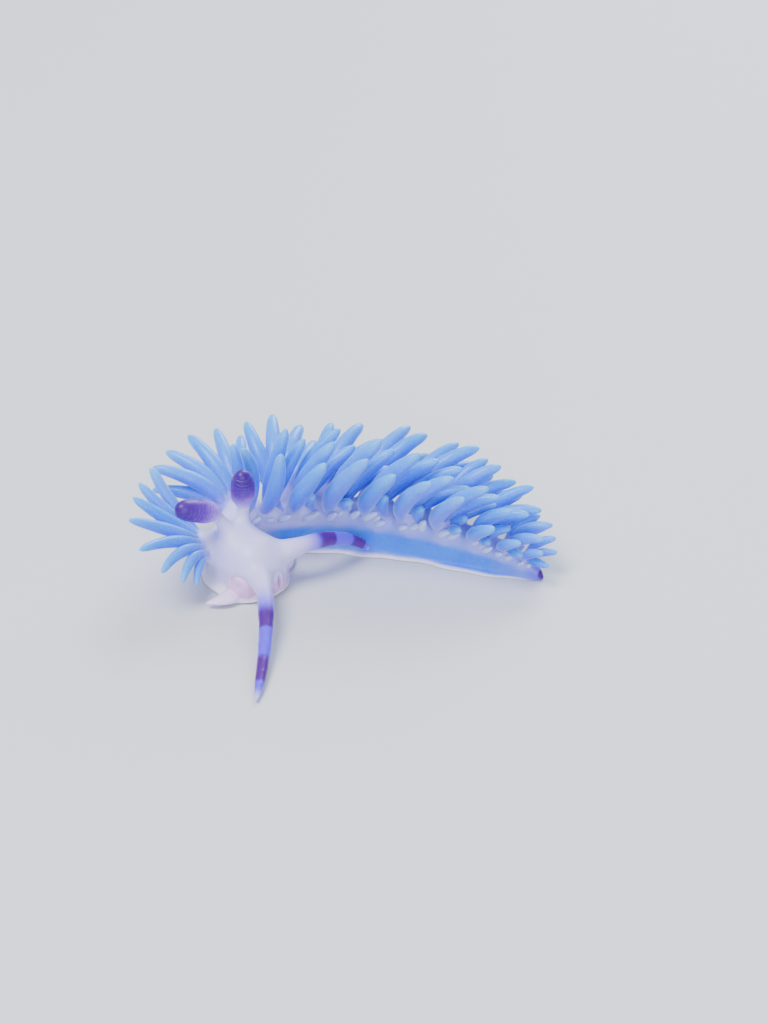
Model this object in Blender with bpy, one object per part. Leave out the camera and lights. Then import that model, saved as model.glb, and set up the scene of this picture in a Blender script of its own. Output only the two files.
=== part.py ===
"""Blue dragon sea slug, life size, crawling with its head turned back to its left.

Metres, +Z up, the floor at Z = 0. The tail points to +X, the viewer stands at -Y, and the origin is under
the middle of the whole animal. The body is a soft tube with a flat sole, swept along a bent spine. Pairs of
raised pads along its sides each carry a fan of cerata, the finger-like gills that give the animal its look.
"""

import math

import bmesh
import bpy
import numpy as np
from mathutils import Vector

MM = 0.001
GAP = 0.3 * MM
UP = np.array([0.0, 0.0, 1.0])

# The spine, from the snout to the tail tip. Headings are the way to the tail, in degrees from +X.
BODY_LENGTH = 26.4 * MM
SNOUT = np.array([-3.83, -0.4]) * MM
BEND_STATIONS = np.array([0.0, 3.1, 7.2, 9.4, 12.0, 15.5, 18.5, 22.0, 26.4]) * MM
BEND_HEADINGS = np.array([140.0, 140.0, 28.0, 12.0, -2.0, -13.0, -21.0, -24.0, -30.0])
BEND_SOFTNESS = 1.4 * MM
SPINE_STEP = 0.05 * MM

# Half width and height of the body at stations from the snout.
SHAPE_STATIONS = np.array([0.0, 1.4, 3.6, 4.9, 8.4, 12.0, 16.0, 20.0, 22.8, 25.0, 26.4]) * MM
HALF_WIDTHS = np.array([1.7, 1.9, 1.75, 1.28, 1.32, 1.45, 1.4, 1.3, 1.0, 0.58, 0.34]) * MM
HEIGHTS = np.array([2.5, 3.3, 3.75, 3.25, 2.95, 2.9, 2.8, 2.5, 1.95, 1.25, 0.7]) * MM
SNOUT_ROUNDING = 1.5 * MM
SNOUT_LEVEL = 0.42
LEAST_END = 0.12
TAIL_ROUNDING = 0.7 * MM
TAIL_LEAST_HEIGHT = 0.3
HEAD_LIFT = 0.25 * MM
HEAD_LIFT_LENGTH = 3.4 * MM
SHOULDER_LEVEL = 0.44
FLANK_SQUARENESS = 0.85
BACK_SQUARENESS = 0.9

# The thin edge of the foot flares past the flank. Its outline is in shares of the half width, and its levels
# in shares of the flank below the shoulder and of the edge's own thickness.
FOOT_EDGE = 0.28 * MM
FOOT_EDGE_SHARE = 0.3
FOOT_OUTLINE = (
    (0.94, 0.55, 0.45),
    (1.0, 0.0, 1.25),
    (1.13, 0.0, 0.75),
    (1.14, 0.0, 0.35),
    (1.04, 0.0, 0.0),
)
FOOT_FLARE = 1.14

# The lengths the body is parted into, with the station where each one ends.
BODY_PARTS = (
    ("head", 4.6 * MM),
    ("neck", 8.0 * MM),
    ("trunk_front", 12.6 * MM),
    ("trunk_middle", 17.2 * MM),
    ("trunk_rear", 21.6 * MM),
    ("tail", BODY_LENGTH),
)
RING_SPACING = 0.75 * MM
RING_ANGLE = 22.5
FIRST_RING = 0.95 * MM
LAST_RING = 0.3 * MM
SNOUT_RINGS = [0.0, 0.14 * MM, 0.4 * MM, 0.75 * MM]

# The lips and the slit between them. Radii run forward, aside and up.
MOUTH_STATION = 0.35 * MM
MOUTH_LEVEL = HEAD_LIFT + 0.85 * MM
LIP_RADII = np.array([0.42, 0.36, 0.5]) * MM
LIP_ASIDE = 0.3 * MM
SLIT_RADII = np.array([0.4, 0.09, 0.42]) * MM
SLIT_FORWARD = 0.38 * MM

# The rhinophores, the two horns on the head: a slim stalk and a club ringed by leaves.
RHINOPHORE_STATION = 3.75 * MM
RHINOPHORE_LENGTH = 3.7 * MM
RHINOPHORE_SET = {"left": (72.0, (0.03, -0.4, 0.9)), "right": (108.0, (-0.68, -0.5, 0.38))}
RHINOPHORE_LEAN = 0.25
RHINOPHORE_RISE = 0.3
STALK_RADIUS = 0.4 * MM
STALK_FOOT = 0.12 * MM
STALK_FOOT_END = 0.25
CLUB_RADIUS = 0.74 * MM
CLUB_SWELL = 0.3
CLUB_TIP_START = 0.66
STALK_RINGS = [0.0, 0.14, 0.28]
LEAF_COUNT = 7
FIRST_LEAF, LEAF_SPAN, LEAF_STEP = 0.36, 0.5, 0.036
LEAF_INNER, LEAF_OUTER = 0.86, 1.04
CLUB_LAST_RING = 0.955

# The oral tentacles. Each has the station and angle of its root, how far it leads straight out, and its bend
# and tip, measured from the snout.
TENTACLE_SET = {
    "left": (0.84 * MM, 26.0, 2.0 * MM, np.array([[4.3, 4.4, 1.9], [5.4, 4.3, 0.6]]) * MM),
    "right": (0.45 * MM, 166.0, 2.6 * MM, np.array([[-0.5, -6.2, 0.3], [-0.95, -11.0, 0.26]]) * MM),
}
TENTACLE_CUTS = (0.0, 0.36, 0.68, 1.0)
TENTACLE_ROOT_RADIUS = 0.6 * MM
TENTACLE_END_RADIUS = 0.3 * MM
TENTACLE_FLARE = 0.14 * MM
TENTACLE_FLARE_END = 0.22
TENTACLE_TIP_START = 0.8
TENTACLE_TIP_RINGS = [0.76, 0.86, 0.94, 0.985, 1.0]
TENTACLE_RINGS = 6
FEELER_SIDES = 10

# The horns that the front corners of the foot draw out into, flat where they leave the foot.
CORNER_STATION = 1.9 * MM
CORNER_OFFSET = 0.05 * MM
CORNER_LEVEL = 0.34 * MM
CORNER_LEAD = 0.6 * MM
CORNER_SWEEP = 1.15 * MM
CORNER_SHARES = [0.0, 0.3, 0.6, 0.85, 1.0]
CORNER_RADII = np.array([0.62, 0.5, 0.36, 0.2, 0.0]) * MM
CORNER_FLATNESS = 0.52
CORNER_SIDES = 8

# The ceratal clusters, one pair at each station, with the longest ceras and how many each carries.
CLUSTER_STATIONS = {
    "left": np.array([6.3, 8.4, 10.6, 13.0, 15.4, 17.8, 20.1, 22.2, 23.9, 25.2]) * MM,
    "right": np.array([4.15, 6.9, 9.6, 12.3, 15.0, 17.5, 19.9, 22.1, 23.9, 25.2]) * MM,
}
CERAS_LENGTHS = {
    "left": np.array([4.6, 5.1, 5.6, 5.8, 5.7, 5.3, 4.7, 3.9, 3.0, 1.9]) * MM,
    "right": np.array([5.5, 5.4, 5.0, 4.9, 5.0, 4.8, 4.4, 3.7, 2.9, 1.9]) * MM,
}
CERAS_COUNTS = {"left": (3, 5, 7, 7, 6, 6, 6, 5, 3, 2), "right": (10, 8, 7, 6, 6, 6, 6, 5, 3, 2)}
CERAS_RADII = {
    "left": np.array([0.48, 0.52, 0.56, 0.58, 0.57, 0.54, 0.5, 0.45, 0.38, 0.31]) * MM,
    "right": np.array([0.42, 0.52, 0.54, 0.54, 0.54, 0.52, 0.48, 0.44, 0.38, 0.31]) * MM,
}

# The pads that carry them, with the angle of each round the body.
PAD_HALF_LENGTHS = {
    "left": np.array([0.55, 0.8, 0.95, 0.95, 0.95, 0.9, 0.8, 0.7, 0.55, 0.4]) * MM,
    "right": np.array([0.85, 0.9, 0.95, 0.95, 0.95, 0.9, 0.8, 0.7, 0.55, 0.4]) * MM,
}
PAD_MIDDLES = {
    "left": (64.0, 62.0, 60.0, 60.0, 60.0, 60.0, 60.0, 60.0, 60.0, 60.0),
    "right": (165.0, 132.0, 124.0, 120.0, 120.0, 120.0, 120.0, 120.0, 120.0, 120.0),
}
PAD_THICKNESS = 0.85 * MM
PAD_SHARE_OF_BODY = 0.62
PAD_RIM = 0.5
PAD_HALF_SPREAD = 21.0
PAD_ROWS, PAD_COLUMNS = 4, 5

# How the fan of each cluster leans out, up and back along the body, how wide it opens, how much its front
# cerata stand higher than its rear ones, and where in it the longest one stands, from -1 to 1.
LEFT_FANS = (
    (0.0, 1.0, 0.0, 0.7, 0.0, -0.4),
    (0.05, 1.0, 0.6, 0.5, 0.45, -0.5),
    (0.05, 0.95, 1.0, 0.45, 0.5, -0.6),
    (0.05, 0.95, 1.1, 0.4, 0.55, -0.6),
    (0.05, 0.9, 1.1, 0.4, 0.55, -0.6),
    (0.05, 0.8, 1.1, 0.4, 0.5, -0.6),
    (0.1, 0.7, 1.05, 0.4, 0.5, -0.6),
    (0.15, 0.6, 1.05, 0.4, 0.5, -0.5),
    (0.2, 0.5, 1.0, 0.3, 0.5, -0.2),
    (0.3, 0.5, 1.0, 0.2, 0.5, -0.2),
)
RIGHT_FANS = (
    (0.8, 0.62, 0.12, 1.05, -0.98, 0.25),
    (0.85, 0.45, 0.1, 0.95, 0.1, -0.2),
    (0.8, 0.35, 0.35, 0.7, 0.4, -0.2),
    (0.7, 0.3, 0.6, 0.6, 0.5, -0.2),
    (0.65, 0.3, 0.8, 0.5, 0.5, -0.2),
    (0.6, 0.35, 0.9, 0.5, 0.5, -0.2),
    (0.55, 0.4, 0.95, 0.5, 0.5, -0.2),
    (0.5, 0.45, 1.0, 0.4, 0.5, -0.2),
    (0.45, 0.5, 1.0, 0.3, 0.5, -0.2),
    (0.4, 0.55, 1.0, 0.2, 0.5, -0.2),
)

# The roots of a fan follow an arch over its pad.
ARCH_TURN = 1.4
ARCH_LENGTH = 0.72
ARCH_TOP, ARCH_DROP = 0.4, 0.8
ARCH_SPREAD = 0.35
FALL_OFF = 0.85
SHORTENING = 1.7
SHORTEST_SHARE = 0.4
LENGTH_WAVER = 0.07
WAVER_STEPS = (5.1, 2.3)

# One ceras: how deep its root is sunk in the pad, how it leaves it, and how stout it is.
ROOT_DEPTH = 0.2 * MM
RISE_TO_WAY, RISE_TO_UP = 0.4, 0.5
RISE_LENGTH = 0.42
SHORT_RADIUS_SHARE = 0.45
THINNEST_CERAS = 0.27 * MM
CERAS_ROOT_SHARE = 0.66
CERAS_SWELL_END = 0.9
CERAS_TAPER_START = 0.5
CERAS_RINGS = np.array([0.0, 0.28, 0.6, 0.84, 0.96, 1.0])
CERAS_SIDES = 6

# Room kept while neighbouring cerata are bent clear of each other, and how far one may stretch and bow.
CLEAR_OF_OTHERS = 0.36 * MM
CLEAR_IN_FAN = 0.12 * MM
CLEARING_ROUNDS = 110
CLEARING_SHARES = np.linspace(0.2, 0.97, 9)
FREE_SHARE = 0.4
SHOVE = 0.75
LEAST_STRETCH, MOST_STRETCH = 0.85, 1.02
MOST_BOW = 0.3
BOW_BLUNTNESS = 8.0
NEAREST_BEND, FARTHEST_BEND = 0.35, 0.6
WELDS = np.array([0.004, 0.003, 0.002, 0.001, 0.0004, 0.0]) * MM

FLESH = (0.42, 0.58, 0.95, 1.0)
CERAS_BLUE = (0.36, 0.60, 1.0, 1.0)
HEAD_WHITE = (0.66, 0.72, 0.97, 1.0)
PURPLE = (0.16, 0.03, 0.42, 1.0)
WETNESS = 0.3


def smoothstep(share):
    """0 below 0, 1 above 1, and smooth between."""
    share = np.clip(share, 0.0, 1.0)
    return share * share * (3.0 - 2.0 * share)


def unit(vector):
    return vector / np.linalg.norm(vector)


def flat(direction):
    """A direction in plan as one in space."""
    return np.array([*direction, 0.0])


def spine_table():
    """Stations every SPINE_STEP with the headings and places of the spine there."""
    stations = np.arange(0.0, BODY_LENGTH + SPINE_STEP, SPINE_STEP)
    headings = np.interp(stations, BEND_STATIONS, np.radians(BEND_HEADINGS))
    width = int(round(BEND_SOFTNESS / SPINE_STEP)) | 1
    padded = np.pad(headings, width // 2, mode="edge")
    headings = np.convolve(padded, np.ones(width) / width, mode="valid")
    steps = np.stack([np.cos(headings), np.sin(headings)], axis=1) * SPINE_STEP
    places = SNOUT + np.vstack([np.zeros(2), np.cumsum(steps[:-1], axis=0)])
    return stations, headings, places


STATIONS, HEADINGS, PLACES = spine_table()


def spine(station):
    """(place, way to the tail, way to the animal's left) at a station, in plan."""
    heading = np.interp(station, STATIONS, HEADINGS)
    place = np.array([np.interp(station, STATIONS, PLACES[:, i]) for i in range(2)])
    back = np.array([math.cos(heading), math.sin(heading)])
    left = np.array([math.sin(heading), -math.cos(heading)])
    return place, back, left


def rounding(distance, radius):
    """The share of the full section left at that distance from a round end."""
    return math.sqrt(1.0 - (1.0 - min(distance / radius, 1.0)) ** 2)


def section_sizes(station):
    """(half width, lowest level, level of the shoulders, highest level) of the section at a station."""
    snout = max(rounding(station, SNOUT_ROUNDING), LEAST_END)
    tail = rounding(max(BODY_LENGTH - station, 0.0), TAIL_ROUNDING)
    half = float(np.interp(station, SHAPE_STATIONS, HALF_WIDTHS)) * max(snout * tail, LEAST_END)
    height = float(np.interp(station, SHAPE_STATIONS, HEIGHTS))
    if station > BODY_LENGTH / 2:
        # The tail tip closes towards the floor.
        low, high = 0.0, height * max(tail, TAIL_LEAST_HEIGHT)
    else:
        # The snout closes towards its mid level.
        lift = HEAD_LIFT * float(smoothstep(1.0 - station / HEAD_LIFT_LENGTH))
        low = lift + SNOUT_LEVEL * height * (1.0 - snout)
        high = lift + height * (SNOUT_LEVEL + (1.0 - SNOUT_LEVEL) * snout)
    return half, low, low + SHOULDER_LEVEL * (high - low), high


def skin_point(station, angle):
    """A point of the flank or back. angle is 0 on the left side, 90 on top and 180 on the right."""
    half, _, shoulder, high = section_sizes(station)
    place, _, left = spine(station)
    c, s = math.cos(math.radians(angle)), math.sin(math.radians(angle))
    aside = half * math.copysign(abs(c) ** FLANK_SQUARENESS, c)
    level = shoulder + (high - shoulder) * max(s, 0.0) ** BACK_SQUARENESS
    return np.array([*(place + left * aside), level])


def skin_normal(station, angle):
    """The way out of the body at that point."""
    ds, da = 0.1 * MM, 2.0
    along = skin_point(station + ds, angle) - skin_point(station - ds, angle)
    around = skin_point(station, angle + da) - skin_point(station, angle - da)
    return unit(np.cross(along, around))


def section_ring(station):
    """The whole outline of the body at a station: flanks and back, foot edge and flat sole."""
    half, low, shoulder, _ = section_sizes(station)
    place, _, left = spine(station)
    edge = min(FOOT_EDGE, FOOT_EDGE_SHARE * (shoulder - low))
    upper = [skin_point(station, a) for a in np.arange(0.0, 180.1, RING_ANGLE)]
    side = [(aside, low + share * (shoulder - low) + rise * edge) for aside, share, rise in FOOT_OUTLINE]
    rights = [np.array([*(place - left * half * a), z]) for a, z in side]
    lefts = [np.array([*(place + left * half * a), z]) for a, z in reversed(side)]
    return upper + rights + [np.array([*place, low])] + lefts


def material(name, colour):
    """A plain finish of one colour."""
    made = bpy.data.materials.new(name)
    made.use_nodes = True
    shader = made.node_tree.nodes["Principled BSDF"]
    shader.inputs["Base Color"].default_value = colour
    shader.inputs["Roughness"].default_value = WETNESS
    shader.inputs["Metallic"].default_value = 0.0
    return made


def mesh_object(name, points, faces, colour):
    """A closed mesh as an object with its own material."""
    mesh = bpy.data.meshes.new(name)
    mesh.from_pydata([tuple(p) for p in points], [], faces)
    bm = bmesh.new()
    bm.from_mesh(mesh)
    bmesh.ops.recalc_face_normals(bm, faces=bm.faces[:])
    bmesh.ops.triangulate(bm, faces=bm.faces[:])
    bm.to_mesh(mesh)
    bm.free()
    mesh.shade_smooth()
    obj = bpy.data.objects.new(name, mesh)
    bpy.context.scene.collection.objects.link(obj)
    mesh.materials.append(material(name, colour))
    return obj


def bridged(rings):
    """Points and faces of a closed solid through rings of equal count, with flat end faces."""
    count = len(rings[0])
    points = [p for ring in rings for p in ring]
    faces = [tuple(range(count)), tuple(range(len(points) - count, len(points)))]
    for r in range(len(rings) - 1):
        a, b = r * count, (r + 1) * count
        for i in range(count):
            j = (i + 1) % count
            faces.append((a + i, a + j, b + j, b + i))
    return points, faces


def body_part(name, start, end, colour):
    """One length of the body between two stations. Its front face is parallel to the face it meets."""
    first = start + FIRST_RING
    stations = list(np.linspace(first, end, max(2, int(round((end - first) / RING_SPACING)) + 1)))
    if start == 0.0:
        stations = SNOUT_RINGS + stations
    if end == BODY_LENGTH:
        stations[-1:] = [end - LAST_RING, end]
    rings = [section_ring(s) for s in stations]
    if start > 0.0:
        _, back, _ = spine(start - GAP)
        rings.insert(0, [p + flat(back) * GAP for p in section_ring(start - GAP)])
    points, faces = bridged(rings)
    return mesh_object(name, points, faces, colour)


def curve_points(controls, shares):
    """Points and directions along a Bezier curve of three or four control points."""
    t = np.asarray(shares, float)[:, None]
    u = 1.0 - t
    if len(controls) == 4:
        a, b, c, d = controls
        points = u**3 * a + 3 * u * u * t * b + 3 * u * t * t * c + t**3 * d
        ways = u * u * (b - a) + 2 * u * t * (c - b) + t * t * (d - c)
    else:
        a, b, c = controls
        points = u * u * a + 2 * t * u * b + t * t * c
        ways = u * (b - a) + t * (c - b)
    return points, ways / np.linalg.norm(ways, axis=1, keepdims=True)


def tube(points, ways, radii, sides, pointed, flatness=1.0):
    """Rings round a curve, with a flat root and a flat end or a point."""
    across = unit(np.cross(ways[0], [0.31, 0.17, 0.93]))
    rings = []
    for place, way, radius in zip(points, ways, radii):
        across = unit(across - way * (across @ way))
        upright = np.cross(way, across) * flatness
        turns = np.arange(sides) * 2.0 * math.pi / sides
        rings.append([place + radius * (math.cos(a) * across + math.sin(a) * upright) for a in turns])
    if not pointed:
        return bridged(rings)
    made, faces = bridged(rings[:-1])
    faces = [f for i, f in enumerate(faces) if i != 1]
    made.append(points[-1])
    last = (len(rings) - 2) * sides
    faces += [(last + i, last + (i + 1) % sides, len(made) - 1) for i in range(sides)]
    return made, faces


def rhinophore(side):
    """Curve of one rhinophore, rooted on top of the head."""
    angle, way = RHINOPHORE_SET[side]
    normal = skin_normal(RHINOPHORE_STATION, angle)
    root = skin_point(RHINOPHORE_STATION, angle) + normal * GAP
    tip = root + unit(RHINOPHORE_LEAN * normal + unit(np.array(way))) * RHINOPHORE_LENGTH
    return root, root + normal * RHINOPHORE_RISE * RHINOPHORE_LENGTH, tip


def rhinophore_profile(share):
    """A slim stalk and a fuller club, with a blunt tip."""
    share = np.asarray(share, float)
    stalk = STALK_RADIUS + STALK_FOOT * (1.0 - smoothstep(share / STALK_FOOT_END))
    club = (CLUB_RADIUS - STALK_RADIUS) * smoothstep((share - STALK_FOOT_END) / CLUB_SWELL)
    closing = np.clip((share - CLUB_TIP_START) / (1.0 - CLUB_TIP_START), 0.0, 1.0)
    return (stalk + club) * np.sqrt(1.0 - closing**3)


def tentacle(side):
    """Curve of one oral tentacle, rooted at a front corner of the head."""
    station, angle, lead, reach = TENTACLE_SET[side]
    normal = skin_normal(station, angle)
    root = skin_point(station, angle) + normal * GAP
    bend, tip = reach + flat(SNOUT)
    return root, root + normal * lead, bend, tip


def tentacle_profile(share):
    """A long even taper to a fine tip, from a root that flares a little."""
    share = np.asarray(share, float)
    taper = TENTACLE_ROOT_RADIUS + (TENTACLE_END_RADIUS - TENTACLE_ROOT_RADIUS) * share
    flare = TENTACLE_FLARE * (1.0 - smoothstep(share / TENTACLE_FLARE_END))
    closing = np.clip((share - TENTACLE_TIP_START) / (1.0 - TENTACLE_TIP_START), 0.0, 1.0)
    return (taper + flare) * np.sqrt(1.0 - closing**2)


def make_rhinophore(side):
    """A stalk and a club ringed by fine leaves."""
    shares = list(STALK_RINGS)
    swells = [1.0] * len(shares)
    for base in np.linspace(FIRST_LEAF, FIRST_LEAF + LEAF_SPAN, LEAF_COUNT):
        shares += [base, base + LEAF_STEP]
        swells += [LEAF_INNER, LEAF_OUTER]
    shares += [CLUB_LAST_RING, 1.0]
    swells += [1.0, 1.0]
    points, ways = curve_points(rhinophore(side), shares)
    radii = rhinophore_profile(shares) * np.array(swells)
    made, faces = tube(points, ways, radii, FEELER_SIDES, True)
    mesh_object(f"rhinophore_{side}", made, faces, PURPLE)


def make_tentacle(side):
    """Three lengths of an oral tentacle, each a node."""
    controls = tentacle(side)
    whole, _ = curve_points(controls, np.linspace(0.0, 1.0, 200))
    half_gap = GAP / 2 / np.linalg.norm(np.diff(whole, axis=0), axis=1).sum()
    for name, start, end in zip(("root", "middle", "tip"), TENTACLE_CUTS, TENTACLE_CUTS[1:]):
        begin = start + (half_gap if start else 0.0)
        shares = np.linspace(begin, end - half_gap, TENTACLE_RINGS)
        if end == 1.0:
            shares = np.array([begin, *TENTACLE_TIP_RINGS])
        points, ways = curve_points(controls, shares)
        made, faces = tube(points, ways, tentacle_profile(shares), FEELER_SIDES, end == 1.0)
        # Where it lies on the floor it has a small flat.
        made = [np.array([*p[:2], max(p[2], 0.0)]) for p in made]
        mesh_object(f"oral_tentacle_{side}_{name}", made, faces, HEAD_WHITE)


def make_foot_corner(side, sign):
    """The short horn that a front corner of the foot draws out into, swept back."""
    half, low, _, _ = section_sizes(CORNER_STATION)
    place, back, left = spine(CORNER_STATION)
    out = flat(left * sign)
    edge = flat(place) + out * (half * FOOT_FLARE + CORNER_OFFSET + GAP)
    root = edge + UP * (low + CORNER_LEVEL)
    middle = root + out * CORNER_LEAD
    tip = middle + unit(out + flat(back) - 0.1 * UP) * CORNER_SWEEP
    points, ways = curve_points((root, middle, tip), CORNER_SHARES)
    made, faces = tube(points, ways, CORNER_RADII, CORNER_SIDES, True, CORNER_FLATNESS)
    mesh_object(f"foot_corner_{side}", made, faces, HEAD_WHITE)


def pad_thickness(k):
    """How far the pads of a cluster rise in their middle."""
    half, _, _, _ = section_sizes(CLUSTER_STATIONS["right"][k])
    return min(PAD_THICKNESS, PAD_SHARE_OF_BODY * half)


def pad_mesh(k, side, sign):
    """Points and faces of the raised pad that carries a cluster, a gap away from the body's skin."""
    inner, outer = [], []
    for u in np.linspace(-1.0, 1.0, PAD_ROWS):
        for v in np.linspace(-1.0, 1.0, PAD_COLUMNS):
            # The square of rows and columns is drawn in to a disc.
            du = u * math.sqrt(1.0 - v * v / 2.0)
            dv = v * math.sqrt(1.0 - u * u / 2.0)
            at = CLUSTER_STATIONS[side][k] + du * PAD_HALF_LENGTHS[side][k]
            angle = PAD_MIDDLES[side][k] + sign * dv * PAD_HALF_SPREAD
            normal = skin_normal(at, angle)
            dome = 1.0 - min(1.0, du * du + dv * dv)
            skin = skin_point(at, angle) + normal * GAP
            inner.append(skin)
            outer.append(skin + normal * pad_thickness(k) * (PAD_RIM + (1.0 - PAD_RIM) * dome))
    count = PAD_ROWS * PAD_COLUMNS
    faces = []
    for r in range(PAD_ROWS - 1):
        for c in range(PAD_COLUMNS - 1):
            a, b = r * PAD_COLUMNS + c, r * PAD_COLUMNS + c + 1
            d, e = a + PAD_COLUMNS, b + PAD_COLUMNS
            faces.append((a, b, e, d))
            faces.append((a + count, d + count, e + count, b + count))
    rim = list(range(PAD_COLUMNS))
    rim += [r * PAD_COLUMNS + PAD_COLUMNS - 1 for r in range(1, PAD_ROWS)]
    rim += [(PAD_ROWS - 1) * PAD_COLUMNS + c for c in range(PAD_COLUMNS - 2, -1, -1)]
    rim += [r * PAD_COLUMNS for r in range(PAD_ROWS - 2, 0, -1)]
    for a, b in zip(rim, rim[1:] + rim[:1]):
        faces.append((a, a + count, b + count, b))
    return inner + outer, faces


def place_ceras(side, sign, k, i, fan):
    """One ceras as it would stand with no neighbours: its curve's control points, length and thickness."""
    lean_out, lean_up, lean_back, opening, tilt, longest = fan
    arch = -1.0 + 2.0 * (i + 0.5) / CERAS_COUNTS[side][k]
    along = CLUSTER_STATIONS[side][k] + ARCH_LENGTH * PAD_HALF_LENGTHS[side][k] * math.sin(ARCH_TURN * arch)
    angle = PAD_MIDDLES[side][k] + sign * PAD_HALF_SPREAD * (ARCH_TOP - ARCH_DROP * arch * arch)
    normal = skin_normal(along, angle)
    root = skin_point(along, angle) + normal * (GAP + ROOT_DEPTH * pad_thickness(k) / PAD_THICKNESS)
    _, back, left = spine(along)
    back = flat(back)
    out = flat(left) * sign
    off_longest = min(1.0, FALL_OFF * abs(arch - longest))
    size = 1.0 - (1.0 - SHORTEST_SHARE) * off_longest**SHORTENING
    waver = 1.0 + LENGTH_WAVER * math.sin(WAVER_STEPS[0] * i + WAVER_STEPS[1] * k + sign)
    length = CERAS_LENGTHS[side][k] * size * waver
    way = lean_out * out + lean_up * UP + lean_back * back
    way = unit(way + opening * (arch * back - tilt * arch * UP + ARCH_SPREAD * arch * arch * out))
    rise = unit(normal + RISE_TO_WAY * way + RISE_TO_UP * UP)
    radius = CERAS_RADII[side][k] * (SHORT_RADIUS_SHARE + (1.0 - SHORT_RADIUS_SHARE) * size)
    return {
        "cluster": f"cerata_{side}_{k + 1}",
        "root": root,
        "bend": root + rise * length * RISE_LENGTH,
        "tip": root + way * length,
        "length": length,
        "radius": max(THINNEST_CERAS, radius),
    }


def place_cerata():
    """Every ceras of every cluster."""
    cerata = []
    for side, sign, fans in (("left", 1.0, LEFT_FANS), ("right", -1.0, RIGHT_FANS)):
        for k, fan in enumerate(fans):
            cerata += [place_ceras(side, sign, k, i, fan) for i in range(CERAS_COUNTS[side][k])]
    return cerata


def ceras_thickness(share):
    """The radius along a ceras as a share of its thickest: a spindle with a blunt tip."""
    swell = CERAS_ROOT_SHARE + (1.0 - CERAS_ROOT_SHARE) * np.sin(
        math.pi * np.clip(share / CERAS_SWELL_END, 0.0, 1.0)
    )
    closing = np.clip((share - CERAS_TAPER_START) / (1.0 - CERAS_TAPER_START), 0.0, 1.0)
    return np.minimum(swell, np.sqrt(1.0 - closing**2.5))


def body_balls():
    """Balls that fill the body, as centres and radii."""
    spacing, swell = 0.6 * MM, 1.04
    centres, radii = [], []
    for station in np.arange(0.8 * MM, BODY_LENGTH, spacing):
        half, low, _, high = section_sizes(station)
        place, _, left = spine(station)
        ball = min(half, (high - low) / 2)
        for aside in (-1.0, 0.0, 1.0):
            spot = place + left * aside * max(half - ball, 0.0)
            centres.append([*spot, (high + low) / 2])
            radii.append(ball * swell)
    return np.array(centres), np.array(radii)


def pad_balls():
    """Balls over each pad, with the name of its cluster."""
    shifts, extra = (-0.55, 0.0, 0.55), 0.08 * MM
    names, centres, radii = [], [], []
    for side in ("left", "right"):
        for k, station in enumerate(CLUSTER_STATIONS[side]):
            middle = PAD_MIDDLES[side][k]
            for shift in shifts:
                at = station + shift * PAD_HALF_LENGTHS[side][k]
                names.append(f"cerata_{side}_{k + 1}")
                centres.append(skin_point(at, middle) + skin_normal(at, middle) * GAP)
                radii.append(pad_thickness(k) + extra)
    return np.array(names), np.array(centres), np.array(radii)


def feeler_balls():
    """Balls along the rhinophores and the oral tentacles."""
    shares = np.linspace(0.0, 1.0, 16)
    centres, radii = [], []
    for curve, profile in ((rhinophore, rhinophore_profile), (tentacle, tentacle_profile)):
        for side in ("left", "right"):
            points, _ = curve_points(curve(side), shares)
            centres.append(points)
            radii.append(profile(shares))
    return np.vstack(centres), np.concatenate(radii)


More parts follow.
